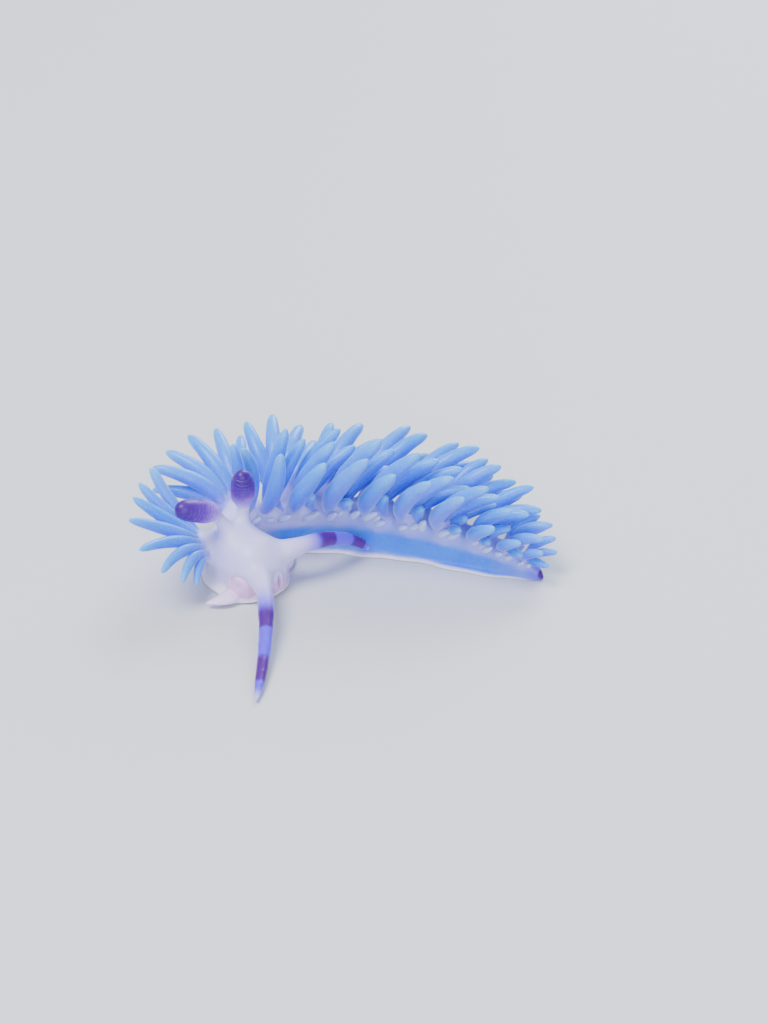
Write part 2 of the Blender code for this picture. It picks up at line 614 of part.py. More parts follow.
class Fans:
    """All the cerata as arrays, bent clear of each other, the body, the feelers and the floor."""

    def __init__(self, cerata):
        self.cerata = cerata
        self.roots = np.array([c["root"] for c in cerata])
        self.bends = np.array([c["bend"] for c in cerata])
        self.tips = np.array([c["tip"] for c in cerata])
        self.lengths = np.array([c["length"] for c in cerata])
        self.radii = np.array([c["radius"] for c in cerata])
        self.clusters = np.array([c["cluster"] for c in cerata])
        self.thickness = self.radii[:, None] * ceras_thickness(CLEARING_SHARES)[None, :]
        t = CLEARING_SHARES[None, :, None]
        self.root_weight, self.bend_weight, self.tip_weight = (1 - t) ** 2, 2 * t * (1 - t), t * t
        self.find_pairs()
        self.find_solids()

    def find_pairs(self):
        """The pairs of cerata near enough to touch, with the room that each pair keeps."""
        first, second = np.triu_indices(len(self.roots), 1)
        apart = np.linalg.norm(self.roots[first] - self.roots[second], axis=1)
        near = apart < self.lengths[first] + self.lengths[second] + 2 * MM
        self.first, self.second = first[near], second[near]
        same = (self.clusters[self.first] == self.clusters[self.second])[:, None, None]
        late = CLEARING_SHARES > FREE_SHARE
        both_late = (late[:, None] & late[None, :])[None]
        room = np.where(same, CLEAR_IN_FAN, CLEAR_OF_OTHERS)
        # Near their roots the cerata of one fan may run together.
        room = np.where(same & ~both_late, -1.0, room)
        self.need = self.thickness[self.first][:, :, None] + self.thickness[self.second][:, None, :] + room

    def find_solids(self):
        """The balls that the cerata keep clear of. A ceras doesn't mind its own pad."""
        body, body_radii = body_balls()
        names, pads, pad_radii = pad_balls()
        feelers, feeler_radii = feeler_balls()
        self.solids = np.vstack([body, pads, feelers])
        solid_radii = np.concatenate([body_radii, pad_radii, feeler_radii])
        owners = np.concatenate([np.full(len(body), ""), names, np.full(len(feelers), "")])
        self.minds = (self.clusters[:, None] != owners[None, :])[:, None, :]
        self.solid_need = self.thickness[:, :, None] + solid_radii[None, None] + CLEAR_OF_OTHERS

    def push_apart(self, spots, push):
        between = spots[self.first][:, :, None] - spots[self.second][:, None, :]
        apart = np.linalg.norm(between, axis=3) + 1e-9
        short = np.clip(self.need - apart, 0.0, None)
        shove = between / apart[..., None] * short[..., None] * 0.5
        touching = short > 0
        np.add.at(push, self.first, shove.sum(axis=2) / (1.0 + touching.sum(axis=2)[..., None]))
        np.add.at(push, self.second, -shove.sum(axis=1) / (1.0 + touching.sum(axis=1)[..., None]))

    def push_off(self, spots, push):
        away = spots[:, :, None] - self.solids[None, None]
        apart = np.linalg.norm(away, axis=3) + 1e-9
        short = np.clip(self.solid_need - apart, 0.0, None) * self.minds
        short[:, 0] = 0.0
        shove = away / apart[..., None] * short[..., None]
        push += shove.max(axis=2) + shove.min(axis=2)
        push[..., 2] += np.clip(self.thickness + CLEAR_OF_OTHERS - spots[..., 2], 0.0, None)

    def move(self, push):
        tip_share, bend_share = self.tip_weight, self.bend_weight
        self.tips += SHOVE * 2.0 * (push * tip_share).sum(axis=1) / tip_share.sum(axis=1)
        self.bends += SHOVE / 1.2 * (push * bend_share).sum(axis=1) / bend_share.sum(axis=1)

    def keep_shape(self):
        """A ceras stretches and bows only a little."""
        reach = self.tips - self.roots
        stretch = np.linalg.norm(reach, axis=1) / self.lengths
        reach *= (np.clip(stretch, LEAST_STRETCH, MOST_STRETCH) / stretch)[:, None]
        self.tips = self.roots + reach
        chord_length = np.linalg.norm(reach, axis=1)[:, None]
        chord = reach / chord_length
        ahead = ((self.bends - self.roots) * chord).sum(axis=1)[:, None]
        aside = self.bends - self.roots - ahead * chord
        bow = np.linalg.norm(aside, axis=1)[:, None] + 1e-9
        slimness = chord_length / (BOW_BLUNTNESS * self.radii[:, None])
        limit = MOST_BOW * chord_length * np.clip(slimness, 0.2, 1.0)
        ahead = np.clip(ahead, NEAREST_BEND * chord_length, FARTHEST_BEND * chord_length)
        self.bends = self.roots + ahead * chord + aside * np.minimum(1.0, limit / bow)

    def bend_clear(self):
        for _ in range(CLEARING_ROUNDS):
            spots = self.root_weight * self.roots[:, None]
            spots = spots + self.bend_weight * self.bends[:, None] + self.tip_weight * self.tips[:, None]
            push = np.zeros_like(spots)
            self.push_apart(spots, push)
            self.push_off(spots, push)
            self.move(push)
            self.keep_shape()
        for ceras, bend, tip in zip(self.cerata, self.bends, self.tips):
            ceras["bend"], ceras["tip"] = bend, tip
        return self.cerata


def surfaces(bm):
    """The faces of each closed surface of a mesh, the smallest first."""
    seen, groups = set(), []
    for start in bm.faces:
        if start in seen:
            continue
        seen.add(start)
        group, queue = [start], [start]
        while queue:
            for edge in queue.pop().edges:
                for face in edge.link_faces:
                    if face not in seen:
                        seen.add(face)
                        group.append(face)
                        queue.append(face)
        groups.append(group)
    return sorted(groups, key=len)


def drop_small(bm):
    """Deletes all but the largest closed surface."""
    for group in surfaces(bm)[:-1]:
        bmesh.ops.delete(bm, geom=group, context="FACES")


def keep_largest(mesh):
    """Drops all but the largest closed surface of a mesh, and welds the slivers of its joints."""
    bm = bmesh.new()
    bm.from_mesh(mesh)
    drop_small(bm)
    bmesh.ops.triangulate(bm, faces=bm.faces[:])
    for distance in WELDS:
        # The widest weld that leaves the surface closed is the one kept.
        tidy = bm.copy()
        bmesh.ops.remove_doubles(tidy, verts=tidy.verts[:], dist=distance)
        bmesh.ops.dissolve_degenerate(tidy, dist=distance, edges=tidy.edges[:])
        bmesh.ops.triangulate(tidy, faces=tidy.faces[:])
        drop_small(tidy)
        closed = all(len(edge.link_faces) == 2 for edge in tidy.edges)
        if closed or distance == WELDS[-1]:
            tidy.to_mesh(mesh)
            tidy.free()
            break
        tidy.free()
    bm.free()


def joined(base, pieces, operation="UNION"):
    """The base with the pieces joined to it, or cut from it, as one applied Boolean."""
    helpers = bpy.data.collections.new("helpers")
    bpy.context.scene.collection.children.link(helpers)
    for piece in pieces:
        bpy.context.scene.collection.objects.unlink(piece)
        helpers.objects.link(piece)
    modifier = base.modifiers.new("join", "BOOLEAN")
    modifier.operation = operation
    modifier.operand_type = "COLLECTION"
    modifier.collection = helpers
    modifier.solver = "EXACT"
    bpy.context.view_layer.update()
    graph = bpy.context.evaluated_depsgraph_get()
    mesh = bpy.data.meshes.new_from_object(base.evaluated_get(graph))
    base.modifiers.clear()
    keep_largest(mesh)
    mesh.shade_smooth()
    base.data = mesh
    for piece in pieces:
        bpy.data.objects.remove(piece)
    bpy.data.collections.remove(helpers)
    return base


def make_cluster(k, side, sign, cerata):
    """A pad with its fan of cerata joined to it."""
    name = f"cerata_{side}_{k + 1}"
    points, faces = pad_mesh(k, side, sign)
    pad = mesh_object(name, points, faces, CERAS_BLUE)
    pieces = []
    for ceras in cerata:
        if ceras["cluster"] == name:
            points, ways = curve_points((ceras["root"], ceras["bend"], ceras["tip"]), CERAS_RINGS)
            radii = ceras["radius"] * ceras_thickness(CERAS_RINGS)
            made, faces = tube(points, ways, radii, CERAS_SIDES, True)
            pieces.append(mesh_object("ceras", made, faces, CERAS_BLUE))
    return joined(pad, pieces)


def ellipsoid(name, centre, radii, axes):
    """A closed ball squashed along three axes, for the lips and the mouth."""
    mesh = bpy.data.meshes.new(name)
    bm = bmesh.new()
    bmesh.ops.create_icosphere(bm, subdivisions=2, radius=1.0)
    for vertex in bm.verts:
        vertex.co = Vector(centre + sum(axes[i] * radii[i] * vertex.co[i] for i in range(3)))
    bmesh.ops.recalc_face_normals(bm, faces=bm.faces[:])
    bm.to_mesh(mesh)
    bm.free()
    obj = bpy.data.objects.new(name, mesh)
    bpy.context.scene.collection.objects.link(obj)
    return obj


def make_head(start, end):
    """The head, with a pair of lips and the slit of the mouth between them."""
    head = body_part("head", start, end, HEAD_WHITE)
    place, back, left = spine(MOUTH_STATION)
    axes = (flat(-back), flat(left), UP)
    mouth = flat(place) + UP * MOUTH_LEVEL
    lips = [ellipsoid("lip", mouth + axes[1] * sign * LIP_ASIDE, LIP_RADII, axes) for sign in (-1.0, 1.0)]
    joined(head, lips)
    slit = ellipsoid("slit", mouth + axes[0] * SLIT_FORWARD, SLIT_RADII, axes)
    return joined(head, [slit], "DIFFERENCE")


def make_body():
    """The lengths of the body, half a gap short of each cut."""
    start = 0.0
    for name, end in BODY_PARTS:
        begin = start + (GAP / 2 if start else 0.0)
        stop = end - (GAP / 2 if end < BODY_LENGTH else 0.0)
        if name == "head":
            make_head(begin, stop)
        else:
            body_part(name, begin, stop, FLESH)
        start = end


def main():
    for obj in list(bpy.data.objects):
        bpy.data.objects.remove(obj)
    make_body()
    for side, sign in (("left", 1.0), ("right", -1.0)):
        make_rhinophore(side)
        make_tentacle(side)
        make_foot_corner(side, sign)
    cerata = Fans(place_cerata()).bend_clear()
    for side, sign in (("left", 1.0), ("right", -1.0)):
        for k in range(len(CLUSTER_STATIONS[side])):
            make_cluster(k, side, sign, cerata)


main()
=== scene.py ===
# %% [markdown]
# # A blue dragon sea slug, life size
#
# The real animal is a soft slug about 26 mm long. It creeps on a flat foot, carries two banded feelers
# and two purple horns on its head, and wears rows of blue finger-like gills, the cerata, along both
# sides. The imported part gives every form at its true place. This lesson dresses it: one seamless skin
# over all the flesh, fine cerata, leafy horns, and wet, slightly see-through finishes. Lengths are in
# metres, and in millimetres only while the skin is made.

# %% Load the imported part
import math

import bmesh
import bpy
import numpy as np
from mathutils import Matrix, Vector, noise
from mathutils.kdtree import KDTree


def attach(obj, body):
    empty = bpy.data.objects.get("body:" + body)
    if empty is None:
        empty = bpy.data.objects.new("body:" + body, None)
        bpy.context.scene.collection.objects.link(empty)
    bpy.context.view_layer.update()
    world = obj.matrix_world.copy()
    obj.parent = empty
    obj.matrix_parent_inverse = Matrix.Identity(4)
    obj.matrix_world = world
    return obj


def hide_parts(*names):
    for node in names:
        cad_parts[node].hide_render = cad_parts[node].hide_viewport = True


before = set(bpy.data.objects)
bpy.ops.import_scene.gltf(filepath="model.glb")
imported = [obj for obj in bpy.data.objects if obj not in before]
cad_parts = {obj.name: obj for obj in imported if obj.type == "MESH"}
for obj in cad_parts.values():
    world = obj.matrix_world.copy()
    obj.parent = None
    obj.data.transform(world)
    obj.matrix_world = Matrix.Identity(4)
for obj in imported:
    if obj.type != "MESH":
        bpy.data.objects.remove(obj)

MM = 0.001
GAP = 0.3 * MM
UP = np.array([0.0, 0.0, 1.0])
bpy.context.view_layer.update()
print("nodes in the part:", len(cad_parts))


# %% [markdown]
# ## The line of the body
#
# A slug has no bones, so its pose is one bent line from the snout to the tail tip. The line is given by
# the way it heads at a few stations, and short steps along those headings draw it. The same line placed
# the solids, so whatever is set along it lands where the part has it.

# %% The spine
BODY_LENGTH = 26.4 * MM
SNOUT = np.array([-3.83, -0.4]) * MM
BEND_STATIONS = np.array([0.0, 3.1, 7.2, 9.4, 12.0, 15.5, 18.5, 22.0, 26.4]) * MM
BEND_HEADINGS = np.array([140.0, 140.0, 28.0, 12.0, -2.0, -13.0, -21.0, -24.0, -30.0])
BEND_SOFTNESS = 1.4 * MM
SPINE_STEP = 0.05 * MM


def smoothstep(share):
    """0 below 0, 1 above 1, and smooth between."""
    share = np.clip(share, 0.0, 1.0)
    return share * share * (3.0 - 2.0 * share)


def unit(vector):
    return vector / np.linalg.norm(vector)


def flat(direction):
    """A direction in plan as one in space."""
    return np.array([*direction, 0.0])


def spine_table():
    """Stations every SPINE_STEP with the headings and places of the spine there."""
    stations = np.arange(0.0, BODY_LENGTH + SPINE_STEP, SPINE_STEP)
    headings = np.interp(stations, BEND_STATIONS, np.radians(BEND_HEADINGS))
    width = int(round(BEND_SOFTNESS / SPINE_STEP)) | 1
    padded = np.pad(headings, width // 2, mode="edge")
    headings = np.convolve(padded, np.ones(width) / width, mode="valid")
    steps = np.stack([np.cos(headings), np.sin(headings)], axis=1) * SPINE_STEP
    places = SNOUT + np.vstack([np.zeros(2), np.cumsum(steps[:-1], axis=0)])
    return stations, headings, places


STATIONS, HEADINGS, PLACES = spine_table()


def spine(station):
    """(place, way to the tail, way to the animal's left) at a station, in plan."""
    heading = np.interp(station, STATIONS, HEADINGS)
    place = np.array([np.interp(station, STATIONS, PLACES[:, i]) for i in range(2)])
    back = np.array([math.cos(heading), math.sin(heading)])
    left = np.array([math.sin(heading), -math.cos(heading)])
    return place, back, left


print("tail tip at", (spine(BODY_LENGTH)[0] / MM).round(2), "mm")


# %% [markdown]
# ## The shape of the body
#
# Cut across, the body is a dome on a flat sole, with a thin edge of the foot flaring out on both sides.
# Widths and heights at a few stations give the head, the narrow neck, the trunk and the long tail.

# %% Sections across the body
SHAPE_STATIONS = np.array([0.0, 1.4, 3.6, 4.9, 8.4, 12.0, 16.0, 20.0, 22.8, 25.0, 26.4]) * MM
HALF_WIDTHS = np.array([1.7, 1.9, 1.75, 1.28, 1.32, 1.45, 1.4, 1.3, 1.0, 0.58, 0.34]) * MM
HEIGHTS = np.array([2.5, 3.3, 3.75, 3.25, 2.95, 2.9, 2.8, 2.5, 1.95, 1.25, 0.7]) * MM
SNOUT_ROUNDING = 1.5 * MM
SNOUT_LEVEL = 0.42
LEAST_END = 0.12
TAIL_ROUNDING = 0.7 * MM
TAIL_LEAST_HEIGHT = 0.3
HEAD_LIFT = 0.25 * MM
HEAD_LIFT_LENGTH = 3.4 * MM
SHOULDER_LEVEL = 0.44
FLANK_SQUARENESS = 0.85
BACK_SQUARENESS = 0.9
FOOT_EDGE = 0.28 * MM
FOOT_EDGE_SHARE = 0.3
FOOT_FLARE = 1.14
FOOT_OUTLINE = (
    (0.94, 0.55, 0.45),
    (1.0, 0.0, 1.25),
    (1.13, 0.0, 0.75),
    (1.14, 0.0, 0.35),
    (1.04, 0.0, 0.0),
)


def rounding(distance, radius):
    """The share of the full section left at that distance from a round end."""
    return math.sqrt(1.0 - (1.0 - min(distance / radius, 1.0)) ** 2)


def section_sizes(station):
    """(half width, lowest level, level of the shoulders, highest level) of the section at a station."""
    snout = max(rounding(station, SNOUT_ROUNDING), LEAST_END)
    tail = rounding(max(BODY_LENGTH - station, 0.0), TAIL_ROUNDING)
    half = float(np.interp(station, SHAPE_STATIONS, HALF_WIDTHS)) * max(snout * tail, LEAST_END)
    height = float(np.interp(station, SHAPE_STATIONS, HEIGHTS))
    if station > BODY_LENGTH / 2:
        low, high = 0.0, height * max(tail, TAIL_LEAST_HEIGHT)
    else:
        lift = HEAD_LIFT * float(smoothstep(1.0 - station / HEAD_LIFT_LENGTH))
        low = lift + SNOUT_LEVEL * height * (1.0 - snout)
        high = lift + height * (SNOUT_LEVEL + (1.0 - SNOUT_LEVEL) * snout)
    return half, low, low + SHOULDER_LEVEL * (high - low), high


def skin_point(station, angle):
    """A point of the flank or back. angle is 0 on the left side, 90 on top and 180 on the right."""
    half, _, shoulder, high = section_sizes(station)
    place, _, left = spine(station)
    c, s = math.cos(math.radians(angle)), math.sin(math.radians(angle))
    aside = half * math.copysign(abs(c) ** FLANK_SQUARENESS, c)
    level = shoulder + (high - shoulder) * max(s, 0.0) ** BACK_SQUARENESS
    return np.array([*(place + left * aside), level])


def skin_normal(station, angle):
    """The way out of the body at that point."""
    ds, da = 0.1 * MM, 2.0
    along = skin_point(station + ds, angle) - skin_point(station - ds, angle)
    around = skin_point(station, angle + da) - skin_point(station, angle - da)
    return unit(np.cross(along, around))


print("head height", round(section_sizes(3.6 * MM)[3] / MM, 2), "mm")


# %% [markdown]
# ## Feelers and horns
#
# Two oral tentacles feel the ground ahead, and two rhinophores on top of the head smell the water. Each
# is a curve with a thickness along it, rooted on the skin at a station and an angle.

# %% Curves of the feelers and horns
RHINOPHORE_STATION = 3.75 * MM
RHINOPHORE_LENGTH = 3.7 * MM
RHINOPHORE_SET = {"left": (72.0, (0.03, -0.4, 0.9)), "right": (108.0, (-0.68, -0.5, 0.38))}
RHINOPHORE_LEAN = 0.25
RHINOPHORE_RISE = 0.3
STALK_RADIUS = 0.4 * MM
STALK_FOOT = 0.12 * MM
STALK_FOOT_END = 0.25
CLUB_RADIUS = 0.74 * MM
CLUB_SWELL = 0.3
CLUB_TIP_START = 0.66
TENTACLE_SET = {
    "left": (0.84 * MM, 26.0, 2.0 * MM, np.array([[4.3, 4.4, 1.9], [5.4, 4.3, 0.6]]) * MM),
    "right": (0.45 * MM, 166.0, 2.6 * MM, np.array([[-0.5, -6.2, 0.3], [-0.95, -11.0, 0.26]]) * MM),
}
TENTACLE_ROOT_RADIUS = 0.6 * MM
TENTACLE_END_RADIUS = 0.3 * MM
TENTACLE_FLARE = 0.14 * MM
TENTACLE_FLARE_END = 0.22
TENTACLE_TIP_START = 0.8


def curve_points(controls, shares):
    """Points and directions along a Bezier curve of three or four control points."""
    t = np.asarray(shares, float)[:, None]
    u = 1.0 - t
    if len(controls) == 4:
        a, b, c, d = controls
        points = u**3 * a + 3 * u * u * t * b + 3 * u * t * t * c + t**3 * d
        ways = u * u * (b - a) + 2 * u * t * (c - b) + t * t * (d - c)
    else:
        a, b, c = controls
        points = u * u * a + 2 * t * u * b + t * t * c
        ways = u * (b - a) + t * (c - b)
    return points, ways / np.linalg.norm(ways, axis=1, keepdims=True)


def rhinophore(side):
    """Curve of one rhinophore, rooted on top of the head."""
    angle, way = RHINOPHORE_SET[side]
    normal = skin_normal(RHINOPHORE_STATION, angle)
    root = skin_point(RHINOPHORE_STATION, angle) + normal * GAP
    tip = root + unit(RHINOPHORE_LEAN * normal + unit(np.array(way))) * RHINOPHORE_LENGTH
    return root, root + normal * RHINOPHORE_RISE * RHINOPHORE_LENGTH, tip


def rhinophore_profile(share):
    """A slim stalk and a fuller club, with a blunt tip."""
    share = np.asarray(share, float)
    stalk = STALK_RADIUS + STALK_FOOT * (1.0 - smoothstep(share / STALK_FOOT_END))
    club = (CLUB_RADIUS - STALK_RADIUS) * smoothstep((share - STALK_FOOT_END) / CLUB_SWELL)
    closing = np.clip((share - CLUB_TIP_START) / (1.0 - CLUB_TIP_START), 0.0, 1.0)
    return (stalk + club) * np.sqrt(1.0 - closing**3)


def tentacle(side):
    """Curve of one oral tentacle, rooted at a front corner of the head."""
    station, angle, lead, reach = TENTACLE_SET[side]
    normal = skin_normal(station, angle)
    root = skin_point(station, angle) + normal * GAP
    bend, tip = reach + flat(SNOUT)
    return root, root + normal * lead, bend, tip


def tentacle_profile(share):
    """A long even taper to a fine tip, from a root that flares a little."""
    share = np.asarray(share, float)
    taper = TENTACLE_ROOT_RADIUS + (TENTACLE_END_RADIUS - TENTACLE_ROOT_RADIUS) * share
    flare = TENTACLE_FLARE * (1.0 - smoothstep(share / TENTACLE_FLARE_END))
    closing = np.clip((share - TENTACLE_TIP_START) / (1.0 - TENTACLE_TIP_START), 0.0, 1.0)
    return (taper + flare) * np.sqrt(1.0 - closing**2)


# %% [markdown]
# ## The fans of cerata
#
# The cerata stand in fans, one fan on each side at each station. Every fan leans and opens its own way,
# and the fingers in it follow an arch from front to rear, longest where the fan is fullest. The tables
# are the part's.

# %% The fans in numbers
CLUSTER_STATIONS = {
    "left": np.array([6.3, 8.4, 10.6, 13.0, 15.4, 17.8, 20.1, 22.2, 23.9, 25.2]) * MM,
    "right": np.array([4.15, 6.9, 9.6, 12.3, 15.0, 17.5, 19.9, 22.1, 23.9, 25.2]) * MM,
}
CERAS_LENGTHS = {
    "left": np.array([4.6, 5.1, 5.6, 5.8, 5.7, 5.3, 4.7, 3.9, 3.0, 1.9]) * MM,
    "right": np.array([5.5, 5.4, 5.0, 4.9, 5.0, 4.8, 4.4, 3.7, 2.9, 1.9]) * MM,
}
CERAS_COUNTS = {"left": (3, 5, 7, 7, 6, 6, 6, 5, 3, 2), "right": (10, 8, 7, 6, 6, 6, 6, 5, 3, 2)}
CERAS_RADII = {
    "left": np.array([0.48, 0.52, 0.56, 0.58, 0.57, 0.54, 0.5, 0.45, 0.38, 0.31]) * MM,
    "right": np.array([0.42, 0.52, 0.54, 0.54, 0.54, 0.52, 0.48, 0.44, 0.38, 0.31]) * MM,
}
PAD_HALF_LENGTHS = {
    "left": np.array([0.55, 0.8, 0.95, 0.95, 0.95, 0.9, 0.8, 0.7, 0.55, 0.4]) * MM,
    "right": np.array([0.85, 0.9, 0.95, 0.95, 0.95, 0.9, 0.8, 0.7, 0.55, 0.4]) * MM,
}
PAD_MIDDLES = {
    "left": (64.0, 62.0, 60.0, 60.0, 60.0, 60.0, 60.0, 60.0, 60.0, 60.0),
    "right": (165.0, 132.0, 124.0, 120.0, 120.0, 120.0, 120.0, 120.0, 120.0, 120.0),
}
PAD_THICKNESS = 0.85 * MM
PAD_SHARE_OF_BODY = 0.62
PAD_HALF_SPREAD = 21.0
LEFT_FANS = (
    (0.0, 1.0, 0.0, 0.7, 0.0, -0.4),
    (0.05, 1.0, 0.6, 0.5, 0.45, -0.5),
    (0.05, 0.95, 1.0, 0.45, 0.5, -0.6),
    (0.05, 0.95, 1.1, 0.4, 0.55, -0.6),
    (0.05, 0.9, 1.1, 0.4, 0.55, -0.6),
    (0.05, 0.8, 1.1, 0.4, 0.5, -0.6),
    (0.1, 0.7, 1.05, 0.4, 0.5, -0.6),
    (0.15, 0.6, 1.05, 0.4, 0.5, -0.5),
    (0.2, 0.5, 1.0, 0.3, 0.5, -0.2),
    (0.3, 0.5, 1.0, 0.2, 0.5, -0.2),
)
RIGHT_FANS = (
    (0.8, 0.62, 0.12, 1.05, -0.98, 0.25),
    (0.85, 0.45, 0.1, 0.95, 0.1, -0.2),
    (0.8, 0.35, 0.35, 0.7, 0.4, -0.2),
    (0.7, 0.3, 0.6, 0.6, 0.5, -0.2),
    (0.65, 0.3, 0.8, 0.5, 0.5, -0.2),
    (0.6, 0.35, 0.9, 0.5, 0.5, -0.2),
    (0.55, 0.4, 0.95, 0.5, 0.5, -0.2),
    (0.5, 0.45, 1.0, 0.4, 0.5, -0.2),
    (0.45, 0.5, 1.0, 0.3, 0.5, -0.2),
    (0.4, 0.55, 1.0, 0.2, 0.5, -0.2),
)
ARCH_TURN = 1.4
ARCH_LENGTH = 0.72
ARCH_TOP, ARCH_DROP = 0.4, 0.8
ARCH_SPREAD = 0.35
FALL_OFF = 0.85
SHORTENING = 1.7
SHORTEST_SHARE = 0.4
LENGTH_WAVER = 0.07
WAVER_STEPS = (5.1, 2.3)
ROOT_DEPTH = 0.2 * MM
RISE_TO_WAY, RISE_TO_UP = 0.4, 0.5
RISE_LENGTH = 0.42
SHORT_RADIUS_SHARE = 0.45
THINNEST_CERAS = 0.27 * MM
CERAS_ROOT_SHARE = 0.66
CERAS_SWELL_END = 0.9
CERAS_TAPER_START = 0.5
SIDES = (("left", 1.0, LEFT_FANS), ("right", -1.0, RIGHT_FANS))


# %% One ceras, as it would stand alone
def pad_thickness(k):
    """How far the pads of a cluster rise in their middle."""
    half, _, _, _ = section_sizes(CLUSTER_STATIONS["right"][k])
    return min(PAD_THICKNESS, PAD_SHARE_OF_BODY * half)


def place_ceras(side, sign, k, i, fan):
    """One ceras as it would stand with no neighbours: its curve's control points, length and thickness."""
    lean_out, lean_up, lean_back, opening, tilt, longest = fan
    arch = -1.0 + 2.0 * (i + 0.5) / CERAS_COUNTS[side][k]
    along = CLUSTER_STATIONS[side][k] + ARCH_LENGTH * PAD_HALF_LENGTHS[side][k] * math.sin(ARCH_TURN * arch)
    angle = PAD_MIDDLES[side][k] + sign * PAD_HALF_SPREAD * (ARCH_TOP - ARCH_DROP * arch * arch)
    normal = skin_normal(along, angle)
    root = skin_point(along, angle) + normal * (GAP + ROOT_DEPTH * pad_thickness(k) / PAD_THICKNESS)
    _, back, left = spine(along)
    back = flat(back)
    out = flat(left) * sign
    off_longest = min(1.0, FALL_OFF * abs(arch - longest))
    size = 1.0 - (1.0 - SHORTEST_SHARE) * off_longest**SHORTENING
    waver = 1.0 + LENGTH_WAVER * math.sin(WAVER_STEPS[0] * i + WAVER_STEPS[1] * k + sign)
    length = CERAS_LENGTHS[side][k] * size * waver
    way = lean_out * out + lean_up * UP + lean_back * back
    way = unit(way + opening * (arch * back - tilt * arch * UP + ARCH_SPREAD * arch * arch * out))
    rise = unit(normal + RISE_TO_WAY * way + RISE_TO_UP * UP)
    radius = CERAS_RADII[side][k] * (SHORT_RADIUS_SHARE + (1.0 - SHORT_RADIUS_SHARE) * size)
    return {
        "cluster": f"cerata_{side}_{k + 1}",
        "root": root,
        "bend": root + rise * length * RISE_LENGTH,
        "tip": root + way * length,
        "length": length,
        "radius": max(THINNEST_CERAS, radius),
    }


def place_cerata():
    """Every ceras of every cluster."""
    cerata = []
    for side, sign, fans in SIDES:
        for k, fan in enumerate(fans):
            cerata += [place_ceras(side, sign, k, i, fan) for i in range(CERAS_COUNTS[side][k])]
    return cerata


def ceras_thickness(share):
    """The radius along a ceras as a share of its thickest: a spindle with a blunt tip."""
    swell = CERAS_ROOT_SHARE + (1.0 - CERAS_ROOT_SHARE) * np.sin(
        math.pi * np.clip(share / CERAS_SWELL_END, 0.0, 1.0)
    )
    closing = np.clip((share - CERAS_TAPER_START) / (1.0 - CERAS_TAPER_START), 0.0, 1.0)
    return np.minimum(swell, np.sqrt(1.0 - closing**2.5))


# %% [markdown]
# ## Bending the cerata clear of each other
#
# Set by rule alone, neighbours would pass through each other. Real ones lie side by side, because soft
# things push each other away. So each ceras becomes a row of small balls, the body and feelers become
# balls too, and in many small rounds every ball that is too near another moves off. A ceras keeps its
# length meanwhile.

# %% Balls that stand for the solid things
CLEAR_OF_OTHERS = 0.36 * MM
CLEAR_IN_FAN = 0.12 * MM
CLEARING_ROUNDS = 110
CLEARING_SHARES = np.linspace(0.2, 0.97, 9)
FREE_SHARE = 0.4
SHOVE = 0.75
LEAST_STRETCH, MOST_STRETCH = 0.85, 1.02
MOST_BOW = 0.3
BOW_BLUNTNESS = 8.0
NEAREST_BEND, FARTHEST_BEND = 0.35, 0.6
BODY_BALL_START, BODY_BALL_SPACING = 0.8 * MM, 0.6 * MM
BODY_BALL_SWELL = 1.04
PAD_BALL_SHIFTS = (-0.55, 0.0, 0.55)
PAD_BALL_EXTRA = 0.08 * MM
FEELER_BALLS = 16


def body_balls():
    """Balls that fill the body, as centres and radii."""
    centres, radii = [], []
    for station in np.arange(BODY_BALL_START, BODY_LENGTH, BODY_BALL_SPACING):
        half, low, _, high = section_sizes(station)
        place, _, left = spine(station)
        ball = min(half, (high - low) / 2)
        for aside in (-1.0, 0.0, 1.0):
            spot = place + left * aside * max(half - ball, 0.0)
            centres.append([*spot, (high + low) / 2])
            radii.append(ball * BODY_BALL_SWELL)
    return np.array(centres), np.array(radii)


def pad_balls():
    """Balls over each pad, with the name of its cluster."""
    names, centres, radii = [], [], []
    for side in ("left", "right"):
        for k, station in enumerate(CLUSTER_STATIONS[side]):
            middle = PAD_MIDDLES[side][k]
            for shift in PAD_BALL_SHIFTS:
                at = station + shift * PAD_HALF_LENGTHS[side][k]
                names.append(f"cerata_{side}_{k + 1}")
                centres.append(skin_point(at, middle) + skin_normal(at, middle) * GAP)
                radii.append(pad_thickness(k) + PAD_BALL_EXTRA)
    return np.array(names), np.array(centres), np.array(radii)


def feeler_balls():
    """Balls along the rhinophores and the oral tentacles."""
    shares = np.linspace(0.0, 1.0, FEELER_BALLS)
    centres, radii = [], []
    for curve, profile in ((rhinophore, rhinophore_profile), (tentacle, tentacle_profile)):
        for side in ("left", "right"):
            points, _ = curve_points(curve(side), shares)
            centres.append(points)
            radii.append(profile(shares))
    return np.vstack(centres), np.concatenate(radii)


# %% The rounds of pushing
TINY = 1e-9
PAIR_MARGIN = 2 * MM
MAY_OVERLAP = -1.0
TIP_SHOVE, BEND_SHOVE = SHOVE * 2.0, SHOVE / 1.2
LEAST_SLIMNESS = 0.2


